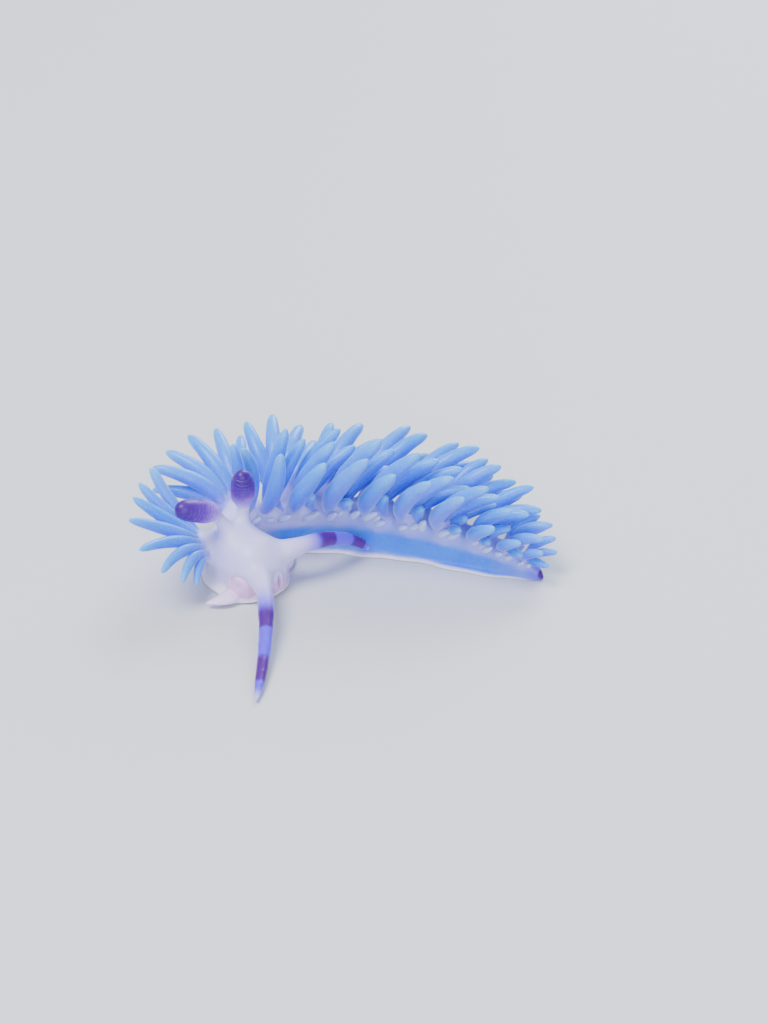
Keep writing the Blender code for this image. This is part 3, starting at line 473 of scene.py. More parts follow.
class Fans:
    """All the cerata as arrays, bent clear of each other, the body, the feelers and the floor."""

    def __init__(self, cerata):
        self.cerata = cerata
        self.roots = np.array([c["root"] for c in cerata])
        self.bends = np.array([c["bend"] for c in cerata])
        self.tips = np.array([c["tip"] for c in cerata])
        self.lengths = np.array([c["length"] for c in cerata])
        self.radii = np.array([c["radius"] for c in cerata])
        self.clusters = np.array([c["cluster"] for c in cerata])
        self.thickness = self.radii[:, None] * ceras_thickness(CLEARING_SHARES)[None, :]
        t = CLEARING_SHARES[None, :, None]
        self.root_weight, self.bend_weight, self.tip_weight = (1 - t) ** 2, 2 * t * (1 - t), t * t
        self.find_pairs()
        self.find_solids()

    def find_pairs(self):
        """The pairs of cerata near enough to touch, with the room that each pair keeps."""
        first, second = np.triu_indices(len(self.roots), 1)
        apart = np.linalg.norm(self.roots[first] - self.roots[second], axis=1)
        near = apart < self.lengths[first] + self.lengths[second] + PAIR_MARGIN
        self.first, self.second = first[near], second[near]
        same = (self.clusters[self.first] == self.clusters[self.second])[:, None, None]
        late = CLEARING_SHARES > FREE_SHARE
        both_late = (late[:, None] & late[None, :])[None]
        room = np.where(same, CLEAR_IN_FAN, CLEAR_OF_OTHERS)
        # Near their roots the cerata of one fan may run together.
        room = np.where(same & ~both_late, MAY_OVERLAP, room)
        self.need = self.thickness[self.first][:, :, None] + self.thickness[self.second][:, None, :] + room

    def find_solids(self):
        """The balls that the cerata keep clear of. A ceras doesn't mind its own pad."""
        body, body_radii = body_balls()
        names, pads, pad_radii = pad_balls()
        feelers, feeler_radii = feeler_balls()
        self.solids = np.vstack([body, pads, feelers])
        solid_radii = np.concatenate([body_radii, pad_radii, feeler_radii])
        owners = np.concatenate([np.full(len(body), ""), names, np.full(len(feelers), "")])
        self.minds = (self.clusters[:, None] != owners[None, :])[:, None, :]
        self.solid_need = self.thickness[:, :, None] + solid_radii[None, None] + CLEAR_OF_OTHERS

    def push_apart(self, spots, push):
        """Cerata that are too near each other each give half the way."""
        between = spots[self.first][:, :, None] - spots[self.second][:, None, :]
        apart = np.linalg.norm(between, axis=3) + TINY
        short = np.clip(self.need - apart, 0.0, None)
        shove = between / apart[..., None] * short[..., None] * 0.5
        touching = short > 0
        np.add.at(push, self.first, shove.sum(axis=2) / (1.0 + touching.sum(axis=2)[..., None]))
        np.add.at(push, self.second, -shove.sum(axis=1) / (1.0 + touching.sum(axis=1)[..., None]))

    def push_off(self, spots, push):
        """The body, the feelers and the floor don't give way."""
        away = spots[:, :, None] - self.solids[None, None]
        apart = np.linalg.norm(away, axis=3) + TINY
        short = np.clip(self.solid_need - apart, 0.0, None) * self.minds
        short[:, 0] = 0.0
        shove = away / apart[..., None] * short[..., None]
        push += shove.max(axis=2) + shove.min(axis=2)
        push[..., 2] += np.clip(self.thickness + CLEAR_OF_OTHERS - spots[..., 2], 0.0, None)

    def move(self, push):
        """Moves the tip and the bend of each ceras by the push on its balls. Its root stays."""
        tip_share, bend_share = self.tip_weight, self.bend_weight
        self.tips += TIP_SHOVE * (push * tip_share).sum(axis=1) / tip_share.sum(axis=1)
        self.bends += BEND_SHOVE * (push * bend_share).sum(axis=1) / bend_share.sum(axis=1)

    def keep_shape(self):
        """A ceras stretches and bows only a little."""
        reach = self.tips - self.roots
        stretch = np.linalg.norm(reach, axis=1) / self.lengths
        reach *= (np.clip(stretch, LEAST_STRETCH, MOST_STRETCH) / stretch)[:, None]
        self.tips = self.roots + reach
        chord_length = np.linalg.norm(reach, axis=1)[:, None]
        chord = reach / chord_length
        ahead = ((self.bends - self.roots) * chord).sum(axis=1)[:, None]
        aside = self.bends - self.roots - ahead * chord
        bow = np.linalg.norm(aside, axis=1)[:, None] + TINY
        slimness = chord_length / (BOW_BLUNTNESS * self.radii[:, None])
        limit = MOST_BOW * chord_length * np.clip(slimness, LEAST_SLIMNESS, 1.0)
        ahead = np.clip(ahead, NEAREST_BEND * chord_length, FARTHEST_BEND * chord_length)
        self.bends = self.roots + ahead * chord + aside * np.minimum(1.0, limit / bow)

    def bend_clear(self):
        for _ in range(CLEARING_ROUNDS):
            spots = self.root_weight * self.roots[:, None]
            spots = spots + self.bend_weight * self.bends[:, None] + self.tip_weight * self.tips[:, None]
            push = np.zeros_like(spots)
            self.push_apart(spots, push)
            self.push_off(spots, push)
            self.move(push)
            self.keep_shape()
        for ceras, bend, tip in zip(self.cerata, self.bends, self.tips):
            ceras["bend"], ceras["tip"] = bend, tip
        return self.cerata


CERATA = Fans(place_cerata()).bend_clear()
print("cerata:", len(CERATA), "longest", round(max(c["length"] for c in CERATA) / MM, 2), "mm")


# %% [markdown]
# ## Shader maths that reads like Python
#
# A finish is a small sum: mix this colour over that one where a mask is high. Written with nodes, each
# plus and times is a box and two wires. The class below wraps a socket, so that `mask * 0.5 + 1 - other`
# adds its Math nodes by itself, and one method adds any other node.

# %% A bench for mixing finishes
class Signal:
    """A value on its way through a material."""

    def __init__(self, bench, socket):
        self.bench = bench
        self.socket = socket

    def maths(self, operation, first, second):
        return self.bench.node("ShaderNodeMath", {"operation": operation}, {0: first, 1: second})

    def __add__(self, other):
        return self.maths("ADD", self, other)

    def __radd__(self, other):
        return self.maths("ADD", other, self)

    def __sub__(self, other):
        return self.maths("SUBTRACT", self, other)

    def __rsub__(self, other):
        return self.maths("SUBTRACT", other, self)

    def __mul__(self, other):
        return self.maths("MULTIPLY", self, other)

    def __rmul__(self, other):
        return self.maths("MULTIPLY", other, self)

    def between(self, low, high):
        """0 up to low, 1 from high on, and smooth between. low may be the higher one."""
        ends = {"From Min": low, "From Max": high, "Value": self}
        return self.bench.node("ShaderNodeMapRange", {"interpolation_type": "SMOOTHSTEP"}, ends)


class Bench:
    """One material on the bench: its nodes, and the shader that they feed."""

    def __init__(self, name):
        self.material = bpy.data.materials.new(name)
        self.material.use_nodes = True
        self.tree = self.material.node_tree
        self.shader = self.tree.nodes["Principled BSDF"]

    def node(self, kind, settings, values, output=0):
        """Adds a node, with its settings first and then the values or links of its sockets."""
        made = self.tree.nodes.new(kind)
        for name, value in settings.items():
            if name == "stops":
                self.set_stops(made.color_ramp, value)
            else:
                setattr(made, name, value)
        for name, value in values.items():
            self.feed(made.inputs[name], value)
        return Signal(self, made.outputs[output])

    def set_stops(self, ramp, stops):
        while len(ramp.elements) < len(stops):
            ramp.elements.new(0.5)
        for element, (place, colour) in zip(ramp.elements, stops):
            element.position = place
            element.color = (*colour, 1.0)

    def feed(self, socket, value):
        if isinstance(value, Signal):
            self.tree.links.new(value.socket, socket)
        elif socket.type == "RGBA":
            socket.default_value = (*value, 1.0)
        else:
            socket.default_value = value

    def attribute(self, name):
        """A number that the mesh carries."""
        return self.node("ShaderNodeAttribute", {"attribute_name": name}, {}, output="Fac")

    def place(self):
        """Where a point lies on the object."""
        return self.node("ShaderNodeTexCoord", {}, {}, output="Object")

    def grain(self, size, detail=3.0, roughness=0.55):
        """Soft noise with blotches about that size."""
        values = {"Vector": self.place(), "Scale": 1.0 / size, "Detail": detail, "Roughness": roughness}
        return self.node("ShaderNodeTexNoise", {}, values)

    def mix(self, share, under, over):
        """The colour over, laid on under where share is 1."""
        return self.node("ShaderNodeMix", {"data_type": "RGBA"}, {0: share, 6: under, 7: over}, output=2)

    def ramp(self, share, stops):
        return self.node("ShaderNodeValToRGB", {"stops": stops}, {"Fac": share})

    def bump(self, height, distance, strength):
        """Fine relief of that depth."""
        values = {"Strength": strength, "Distance": distance, "Height": height}
        return self.node("ShaderNodeBump", {}, values)

    def finish(self, **sockets):
        """Sets the shader's own sockets, by name with _ for a space."""
        for name, value in sockets.items():
            self.feed(self.shader.inputs[name.replace("_", " ")], value)
        return self.material


# %% [markdown]
# ## Wet flesh
#
# The living flesh is wet and lets light a little way in, which makes thin fingers glow. Subsurface light
# with a bluish reach gives that, a thin clear coat gives the wet shine, and a trace of sheen lights the
# rims as fine skin does. These numbers are the same all over, so they are set on the shader's own
# sockets.

# %% What all the flesh has in common
FLESH_DEPTH = 0.2 * MM
FLESH_REACH = (0.75, 0.85, 1.0)


def wet_flesh(bench, depth=FLESH_DEPTH, coat=0.3, rims=0.35):
    """Gives a material the depth, the wet coat and the soft rims of living flesh."""
    bench.shader.subsurface_method = "RANDOM_WALK"
    bench.finish(
        Subsurface_Weight=0.7,
        Subsurface_Scale=depth,
        Subsurface_Radius=FLESH_REACH,
        Subsurface_Anisotropy=0.4,
        IOR=1.38,
        Coat_Weight=coat,
        Coat_Roughness=0.14,
        Coat_IOR=1.33,
        Sheen_Weight=rims,
        Sheen_Roughness=0.26,
        Sheen_Tint=(0.6, 0.85, 1.0),
    )


# %% [markdown]
# ## The colours of the skin
#
# The head and neck are a milky lavender-white and the flanks a clear azure, with a paler band under the
# fans and a thin white hem round the foot. The snout and the folds of the fore-foot blush, and the slit of
# the mouth is painted dark as painted shade. Each feeler wears two purple bands, and the tail ends in a
# purple spot. The mesh carries how far along, how far up and how far out each point is, and the masks are
# cut from those.

# %% The skin's finish
AZURE = (0.012, 0.23, 1.0)
DEEP_AZURE = (0.004, 0.14, 1.0)
MILK = (0.60, 0.58, 1.0)
BLUSH = (0.72, 0.36, 0.66)
# The dark of the mouth's slit is painted shade.
PAINTED_MOUTH_SHADE = (0.30, 0.07, 0.26)
MIST = (0.36, 0.37, 0.95)
HEM = (0.90, 0.82, 1.0)
PURPLE = (0.09, 0.0, 0.26)
LILAC = (0.11, 0.05, 0.88)
BANDS = ((0.22, 0.30, 0.39, 0.42), (0.57, 0.62, 0.74, 0.78))
# Where each colour begins and where it is full, along the body, up it, or out along a feeler or horn.
BAND_RISES = (0.52, 0.74)
HEAD_FADES = (0.36, 0.22)
SHOULDER_FADES, SHOULDER_RISES = (0.54, 0.34), (0.52, 0.76)
TAIL_FADES = (0.84, 1.0)
BLUSH_FADES, BLUSH_RISES = (0.13, 0.03), (0.75, 0.2)
RIM_INSIDE, RIM_OUTSIDE = (0.05, 0.4), (0.95, 0.5)
HEM_RISES = (0.14, 0.06)
STALK_FADES = (0.26, 0.46)
FEELER_FADES, FEELER_TIP_FADES = (0.06, 0.3), (0.82, 0.97)
TAIL_SPOT_INSET, TAIL_SPOT_LEVEL = 0.22 * MM, 0.35 * MM
TAIL_SPOT = flat(spine(BODY_LENGTH - TAIL_SPOT_INSET)[0]) + UP * TAIL_SPOT_LEVEL
TAIL_GLOW, TAIL_SPOT_EDGE = (1.3 * MM, 0.35 * MM), (0.36 * MM, 0.22 * MM)
SKIN_BLOTCH, SKIN_SPECKLE = 1.1 * MM, 0.28 * MM
SKIN_DIMPLE, SKIN_PORE, SKIN_RELIEF = 0.5 * MM, 0.16 * MM, 0.035 * MM


def skin_finish():
    """The colours of head, body and foot, laid over each other from the widest to the smallest."""
    bench = Bench("slug skin")
    station, rise = bench.attribute("station"), bench.attribute("rise")
    reach, pad, horn = bench.attribute("reach"), bench.attribute("pad"), bench.attribute("horn")
    blotch = bench.grain(SKIN_BLOTCH)
    fine = bench.grain(SKIN_SPECKLE, detail=4.0)
    # The flanks, with the paler band and the pads above them.
    colour = bench.mix(blotch.between(0.4, 0.75) * 0.6, AZURE, DEEP_AZURE)
    colour = bench.mix(rise.between(*BAND_RISES) * 0.75, colour, MIST)
    colour = bench.mix(pad * 0.8, colour, MIST)
    # The head, the shoulders behind it, and the tail.
    colour = bench.mix(station.between(*HEAD_FADES) * 0.96, colour, MILK)
    shoulder = station.between(*SHOULDER_FADES) * rise.between(*SHOULDER_RISES)
    colour = bench.mix(shoulder * 0.8, colour, MILK)
    colour = bench.mix(station.between(*TAIL_FADES) * 0.6, colour, MIST)
    # The snout, the folds with their pale rims, and the slit of the mouth, painted dark as painted shade.
    blush = station.between(*BLUSH_FADES) * rise.between(*BLUSH_RISES)
    colour = bench.mix(blush * 0.7, colour, BLUSH)
    fold = bench.attribute("fold")
    colour = bench.mix(fold * 0.42, colour, BLUSH)
    colour = bench.mix(fold.between(*RIM_INSIDE) * fold.between(*RIM_OUTSIDE) * 0.4, colour, HEM)
    colour = bench.mix(bench.attribute("slit") * 0.75, colour, PAINTED_MOUTH_SHADE)
    # Fine pale specks all over, and the hem of the foot.
    colour = bench.mix(fine.between(0.5, 0.8) * 0.07, colour, HEM)
    colour = bench.mix(rise.between(*HEM_RISES) * 0.9, colour, HEM)
    colour = feeler_colours(bench, colour, reach)
    colour = bench.mix(horn.between(*STALK_FADES) * 0.7, colour, LILAC)
    colour = tail_spot(bench, colour)
    wet_flesh(bench)
    height = bench.grain(SKIN_PORE, detail=5.0, roughness=0.6) + bench.grain(SKIN_DIMPLE) * 1.5
    normal = bench.bump(height, SKIN_RELIEF, 0.35)
    rough = 0.30 + fine * 0.22
    return bench.finish(Base_Color=colour, Roughness=rough, Normal=normal)


def feeler_colours(bench, colour, reach):
    """Pale violet feelers, each with two purple bands and a clear tip."""
    colour = bench.mix(reach.between(*FEELER_FADES), colour, LILAC)
    for start, full, fading, end in BANDS:
        mask = reach.between(start, full) * reach.between(end, fading)
        colour = bench.mix(mask, colour, PURPLE)
    return bench.mix(reach.between(*FEELER_TIP_FADES) * 0.8, colour, MILK)


def tail_spot(bench, colour):
    """The round purple spot on the tail tip, in a soft glow."""
    ends = {0: bench.place(), 1: TAIL_SPOT}
    away = bench.node("ShaderNodeVectorMath", {"operation": "DISTANCE"}, ends, output="Value")
    colour = bench.mix(away.between(*TAIL_GLOW) * 0.7, colour, LILAC)
    return bench.mix(away.between(*TAIL_SPOT_EDGE), colour, PURPLE)


SKIN = skin_finish()
print("skin nodes:", len(SKIN.node_tree.nodes))


# %% [markdown]
# ## The colours of the cerata
#
# Each finger is lavender at its root, clear light blue along its length and paler at its blunt tip. Its
# upper side gets a painted highlight of clear blue and its underside painted shade of violet, by how far
# each point faces up. The short young ones are pale all over, and no two fingers have quite the same tone.

# %% The cerata's finish
CERAS_STOPS = (
    (0.0, (0.34, 0.33, 0.98)),
    (0.18, (0.08, 0.19, 1.0)),
    (0.45, (0.004, 0.17, 0.96)),
    (0.8, (0.006, 0.25, 1.0)),
    (1.0, (0.08, 0.42, 1.0)),
)
# Painted shade below each finger and a painted highlight above it, by how far each point faces up.
PAINTED_UNDERSIDE_SHADE = (0.05, 0.04, 0.86)
PAINTED_TOPLIGHT = (0.02, 0.40, 1.0)
YOUNG_PALE = (0.58, 0.64, 1.0)
PAINTED_SHADE_FACING, PAINTED_TOPLIGHT_FACING = (0.1, -0.75), (0.1, 0.9)
CERAS_CLOUD, CERAS_SPECKLE = 0.5 * MM, 0.14 * MM
CERAS_PORE, CERAS_RELIEF = 0.12 * MM, 0.03 * MM
CERAS_DEPTH = 0.22 * MM


def ceras_finish():
    """A ramp along the finger, with painted violet shade below and a painted clear blue highlight above."""
    bench = Bench("cerata")
    along, tone, facing = bench.attribute("along"), bench.attribute("tone"), bench.attribute("facing")
    cloud = bench.grain(CERAS_CLOUD, detail=4.0)
    fine = bench.grain(CERAS_SPECKLE, detail=3.0)
    colour = bench.ramp(along + (cloud - 0.5) * 0.16, CERAS_STOPS)
    # Painted violet shade where the finger faces down, and a painted highlight where it faces up.
    colour = bench.mix(facing.between(*PAINTED_SHADE_FACING) * 0.6, colour, PAINTED_UNDERSIDE_SHADE)
    colour = bench.mix(facing.between(*PAINTED_TOPLIGHT_FACING) * 0.45, colour, PAINTED_TOPLIGHT)
    colour = bench.mix(tone * 0.15, colour, MIST)
    colour = bench.mix(bench.attribute("young") * 0.8, colour, YOUNG_PALE)
    colour = bench.mix(fine.between(0.5, 0.75) * 0.12, colour, HEM)
    wet_flesh(bench, CERAS_DEPTH, rims=1.0)
    height = bench.grain(CERAS_PORE, detail=4.0, roughness=0.6) + cloud
    normal = bench.bump(height, CERAS_RELIEF, 0.3)
    return bench.finish(Base_Color=colour, Roughness=0.28 + fine * 0.2, Normal=normal)


CERAS = ceras_finish()
print("cerata nodes:", len(CERAS.node_tree.nodes))


# %% [markdown]
# ## The colours of the horns
#
# The club of each rhinophore is a deep purple, darkest at its tip, and fades to lilac where it meets the
# stalk. A ramp along the club carries that, and a little noise keeps the change from being a clean line.

# %% The horns' finish
HORN_STOPS = (
    (0.3, (0.56, 0.42, 0.96)),
    (0.5, (0.36, 0.16, 0.85)),
    (0.68, (0.13, 0.015, 0.48)),
    (1.0, (0.055, 0.0, 0.24)),
)
HORN_CLOUD, HORN_PORE, HORN_RELIEF = 0.3 * MM, 0.1 * MM, 0.02 * MM
HORN_DEPTH = 0.08 * MM


def horn_finish():
    """A ramp from lilac to deep purple along the club."""
    bench = Bench("rhinophore leaves")
    along = bench.attribute("along")
    cloud = bench.grain(HORN_CLOUD, detail=4.0)
    colour = bench.ramp(along + (cloud - 0.5) * 0.2, HORN_STOPS)
    wet_flesh(bench, HORN_DEPTH, coat=0.12, rims=0.3)
    normal = bench.bump(bench.grain(HORN_PORE, detail=4.0), HORN_RELIEF, 0.3)
    return bench.finish(Base_Color=colour, Roughness=0.3 + cloud * 0.2, Normal=normal)


HORN = horn_finish()
print("horn nodes:", len(HORN.node_tree.nodes))


# %% [markdown]
# ## Geometry Nodes: a tapered finger along every path
#
# A ceras is a path with a thickness along it, and there are over a hundred. The tree below turns any set
# of paths into closed fingers: it sweeps a circle, scaled by the path's own thickness, closes the tips,
# roughens the surface a little with seeded noise, and notes how far each point faces up for the painted
# highlight and painted shade of the cerata.

# %% The finger tree
MERGE_DISTANCE = 0.002 * MM
TREE_SIDES, TREE_SEED = 20, 4.0
TREE_LUMPS, TREE_LUMP_SIZE = 0.02 * MM, 0.6 * MM


def named_input(tree, name, kind, value=None):
    """Gives a tree one named input, with its usual value."""
    made = tree.interface.new_socket(name, in_out="INPUT", socket_type=kind)
    if value is not None:
        made.default_value = value


def add(tree, kind, settings=None, values=None):
    """Adds a node to a geometry tree, with its settings first and then its sockets."""
    made = tree.nodes.new(kind)
    for name, value in (settings or {}).items():
        setattr(made, name, value)
    for name, value in (values or {}).items():
        if isinstance(value, bpy.types.NodeSocket):
            tree.links.new(value, made.inputs[name])
        else:
            made.inputs[name].default_value = value
    return made


def stored(tree, geometry, name, value):
    """The geometry with one more number on each point."""
    settings = {"data_type": "FLOAT", "domain": "POINT"}
    values = {"Geometry": geometry, "Name": name, "Value": value}
    return add(tree, "GeometryNodeStoreNamedAttribute", settings, values).outputs[0]


def maths_node(tree, operation, first, second):
    """The outcome of one Math node on two numbers."""
    return add(tree, "ShaderNodeMath", {"operation": operation}, {0: first, 1: second}).outputs[0]


def read_attribute(tree, name):
    node = add(tree, "GeometryNodeInputNamedAttribute", {"data_type": "FLOAT"}, {"Name": name})
    return node.outputs["Attribute"]


def finger_tree():
    """Paths in, closed and slightly uneven fingers out."""
    tree = bpy.data.node_groups.new("fingers along paths", "GeometryNodeTree")
    named_input(tree, "Paths", "NodeSocketGeometry")
    named_input(tree, "Sides", "NodeSocketInt", TREE_SIDES)
    named_input(tree, "Lumps", "NodeSocketFloat", TREE_LUMPS)
    named_input(tree, "Lump Size", "NodeSocketFloat", TREE_LUMP_SIZE)
    named_input(tree, "Seed", "NodeSocketFloat", TREE_SEED)
    named_input(tree, "Finish", "NodeSocketMaterial")
    tree.interface.new_socket("Fingers", in_out="OUTPUT", socket_type="NodeSocketGeometry")
    given = add(tree, "NodeGroupInput").outputs
    paths = add(tree, "GeometryNodeMeshToCurve", None, {"Mesh": given["Paths"]}).outputs[0]
    ring_values = {"Resolution": given["Sides"], "Radius": 1.0}
    ring = add(tree, "GeometryNodeCurvePrimitiveCircle", None, ring_values).outputs["Curve"]
    thickness = read_attribute(tree, "thickness")
    sweep_values = {"Curve": paths, "Profile Curve": ring, "Scale": thickness, "Fill Caps": True}
    swept = add(tree, "GeometryNodeCurveToMesh", None, sweep_values).outputs[0]
    merge_values = {"Geometry": swept, "Distance": MERGE_DISTANCE}
    closed = add(tree, "GeometryNodeMergeByDistance", None, merge_values).outputs[0]
    normal = add(tree, "GeometryNodeInputNormal").outputs["Normal"]
    scale = maths_node(tree, "DIVIDE", 1.0, given["Lump Size"])
    noise_values = {"Scale": scale, "W": given["Seed"], "Detail": 2.0}
    lumps = add(tree, "ShaderNodeTexNoise", {"noise_dimensions": "4D"}, noise_values).outputs[0]
    height = maths_node(tree, "MULTIPLY", maths_node(tree, "SUBTRACT", lumps, 0.5), given["Lumps"])
    swell_values = {0: normal, "Scale": height}
    swell = add(tree, "ShaderNodeVectorMath", {"operation": "SCALE"}, swell_values).outputs[0]
    moved_values = {"Geometry": closed, "Offset": swell}
    moved = add(tree, "GeometryNodeSetPosition", None, moved_values).outputs[0]
    # How far each point faces up, kept for the painted highlight and painted shade of the cerata.
    upward = add(tree, "ShaderNodeSeparateXYZ", None, {0: normal}).outputs["Z"]
    noted = stored(tree, moved, "facing", upward)
    smooth = add(tree, "GeometryNodeSetShadeSmooth", None, {"Geometry": noted}).outputs[0]
    real = add(tree, "GeometryNodeRealizeInstances", None, {"Geometry": smooth}).outputs[0]
    done = add(tree, "GeometryNodeSetMaterial", None, {"Geometry": real, "Material": given["Finish"]})
    add(tree, "NodeGroupOutput", None, {0: done.outputs[0]})
    return tree


FINGERS = finger_tree()
print("nodes in the finger tree:", len(FINGERS.nodes))


# %% [markdown]
# ## Running a tree
#
# A tree's inputs are set on the modifier by each socket's identifier. The evaluated result is copied to a
# plain mesh, and the modifier goes, because only plain meshes travel on to other programs.

# %% From paths to plain meshes
def placed(name, data):
    """A new object in the scene, at the origin."""
    obj = bpy.data.objects.new(name, data)
    bpy.context.scene.collection.objects.link(obj)
    return obj


def grown(name, mesh, tree, **inputs):
    """The plain object that a tree makes of a mesh, with the inputs given by name, with _ for a space."""
    obj = placed(name, mesh)
    modifier = obj.modifiers.new("grow", "NODES")
    modifier.node_group = tree
    sockets = {s.name: s.identifier for s in tree.interface.items_tree if s.in_out == "INPUT"}
    for key, value in inputs.items():
        modifier[sockets[key.replace("_", " ")]] = value
    graph = bpy.context.evaluated_depsgraph_get()
    made = bpy.data.meshes.new_from_object(obj.evaluated_get(graph))
    obj.modifiers.clear()
    obj.data = made
    return obj


def set_numbers(mesh, name, values):
    """Writes one number a point on a mesh."""
    attribute = mesh.attributes.new(name, "FLOAT", "POINT")
    attribute.data.foreach_set("value", np.asarray(values, np.float32))


def triangle_count(obj):
    """How many triangles a piece has, which stays under 200,000."""
    obj.data.calc_loop_triangles()
    return len(obj.data.loop_triangles)


# %% [markdown]
# ## The cerata
#
# Each finger's path follows the same curve as its solid, with points set closer where the blunt tip
# rounds off. It starts a little inside the skin, so that the two grow together. A few short young ones
# stand along the lower edge of each fan where there is room, scattered by a seeded random draw.

# %% Paths of the cerata
TIP_START = 0.72
SHANK_POINTS, TIP_POINTS = 12, 12
SHANK_SHARES = np.linspace(0.0, TIP_START, SHANK_POINTS + 1)[:-1]
TIP_SHARES = TIP_START + (1.0 - TIP_START) * np.sin(np.linspace(0.0, math.pi / 2, TIP_POINTS))
CERAS_SHARES = np.concatenate([SHANK_SHARES, TIP_SHARES])
CERAS_SINK = 0.22 * MM
TONE_SEED = 7
TONES = np.random.default_rng(TONE_SEED)
YOUNG_SHIFTS = (-0.7, 0.0, 0.6)
YOUNG_SCATTER, YOUNG_SPREAD = 0.8, 14.0
YOUNG_DROP = 20.0
YOUNG_LENGTH, YOUNG_RADIUS = 1.15 * MM, 0.22 * MM
YOUNG_SHORTEST, YOUNG_RANGE = 0.55, 0.9
YOUNG_BACK, YOUNG_BACK_RANGE = 0.3, 0.9
YOUNG_UP, YOUNG_BEND = 0.3, 0.5
YOUNG_PAD = 0.9 * MM
# A pad that lies lower on the side than this has no room below it.
YOUNG_LOWEST = 150.0
FAN_SIDES = 22


def finger_path(controls, radius, young):
    """Points, thickness, share along and youth of one finger, from inside the skin to its tip."""
    points, ways = curve_points(controls, CERAS_SHARES)
    points = np.vstack([points[0] - ways[0] * CERAS_SINK, points])
    radii = radius * ceras_thickness(CERAS_SHARES)
    return points, np.concatenate([radii[:1], radii]), np.concatenate([[0.0], CERAS_SHARES]), young


def young_paths(side, sign, k):
    """Paths of the short young cerata at the lower edge of one fan, if there is room for them."""
    paths = []
    if PAD_MIDDLES[side][k] > YOUNG_LOWEST:
        return paths
    station, half = CLUSTER_STATIONS[side][k], PAD_HALF_LENGTHS[side][k]
    for shift in YOUNG_SHIFTS:
        at = station + (shift + YOUNG_SCATTER * (TONES.random() - 0.5)) * half
        angle = PAD_MIDDLES[side][k] - sign * (YOUNG_DROP + YOUNG_SPREAD * (TONES.random() - 0.5))
        root, normal = skin_point(at, angle), skin_normal(at, angle)
        _, back, _ = spine(at)
        length = YOUNG_LENGTH * (YOUNG_SHORTEST + YOUNG_RANGE * TONES.random()) * min(1.0, half / YOUNG_PAD)
        lean = YOUNG_BACK + YOUNG_BACK_RANGE * TONES.random()
        way = unit(normal + lean * flat(back) + YOUNG_UP * UP)
        controls = (root, root + normal * length * YOUNG_BEND, root + way * length)
        radius = YOUNG_RADIUS * math.sqrt(length / YOUNG_LENGTH)
        paths.append(finger_path(controls, radius, 1.0))
    return paths


def path_mesh(name, paths):
    """One mesh of edges through several paths."""
    points, edges, radii, along, tones, youth = [], [], [], [], [], []
    for places, thickness, shares, young in paths:
        first = len(points)
        points += [tuple(p) for p in places]
        edges += [(first + i, first + i + 1) for i in range(len(places) - 1)]
        radii += list(thickness)
        along += list(shares)
        tones += [TONES.random()] * len(places)
        youth += [young] * len(places)
    mesh = bpy.data.meshes.new(name)
    mesh.from_pydata(points, edges, [])
    set_numbers(mesh, "thickness", radii)
    set_numbers(mesh, "along", along)
    set_numbers(mesh, "tone", tones)
    set_numbers(mesh, "young", youth)
    return mesh


def make_fans():
    """One piece for each fan, which stands for the fan's solid."""
    count = 0
    for side, sign, fans in SIDES:
        for k in range(len(fans)):
            node = f"cerata_{side}_{k + 1}"
            grown_up = [c for c in CERATA if c["cluster"] == node]
            paths = [finger_path((c["root"], c["bend"], c["tip"]), c["radius"], 0.0) for c in grown_up]
            paths += young_paths(side, sign, k)
            mesh = path_mesh("paths", paths)
            fan = grown(f"fan_{side}_{k + 1}", mesh, FINGERS, Sides=FAN_SIDES, Finish=CERAS)
            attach(fan, "root")
            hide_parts(node)
            count += triangle_count(fan)
    return count


print("triangles in the fans:", make_fans())


# %% [markdown]
# ## The leaves of the horns
#
# The club of a rhinophore is wrapped in thin slanting leaves, about a dozen, each a flat lens round the
# stalk. One leaf is set at every point of the club's path, scaled to the club's thickness there. A smooth
# core fills the club between the leaves and closes its tip.

# %% The leaf tree
LEAF_COUNT = 13
LEAF_THICKNESS = 0.22
LEAF_SLANT = math.radians(14.0)
LEAF_SEGMENTS, LEAF_RINGS = 32, 10


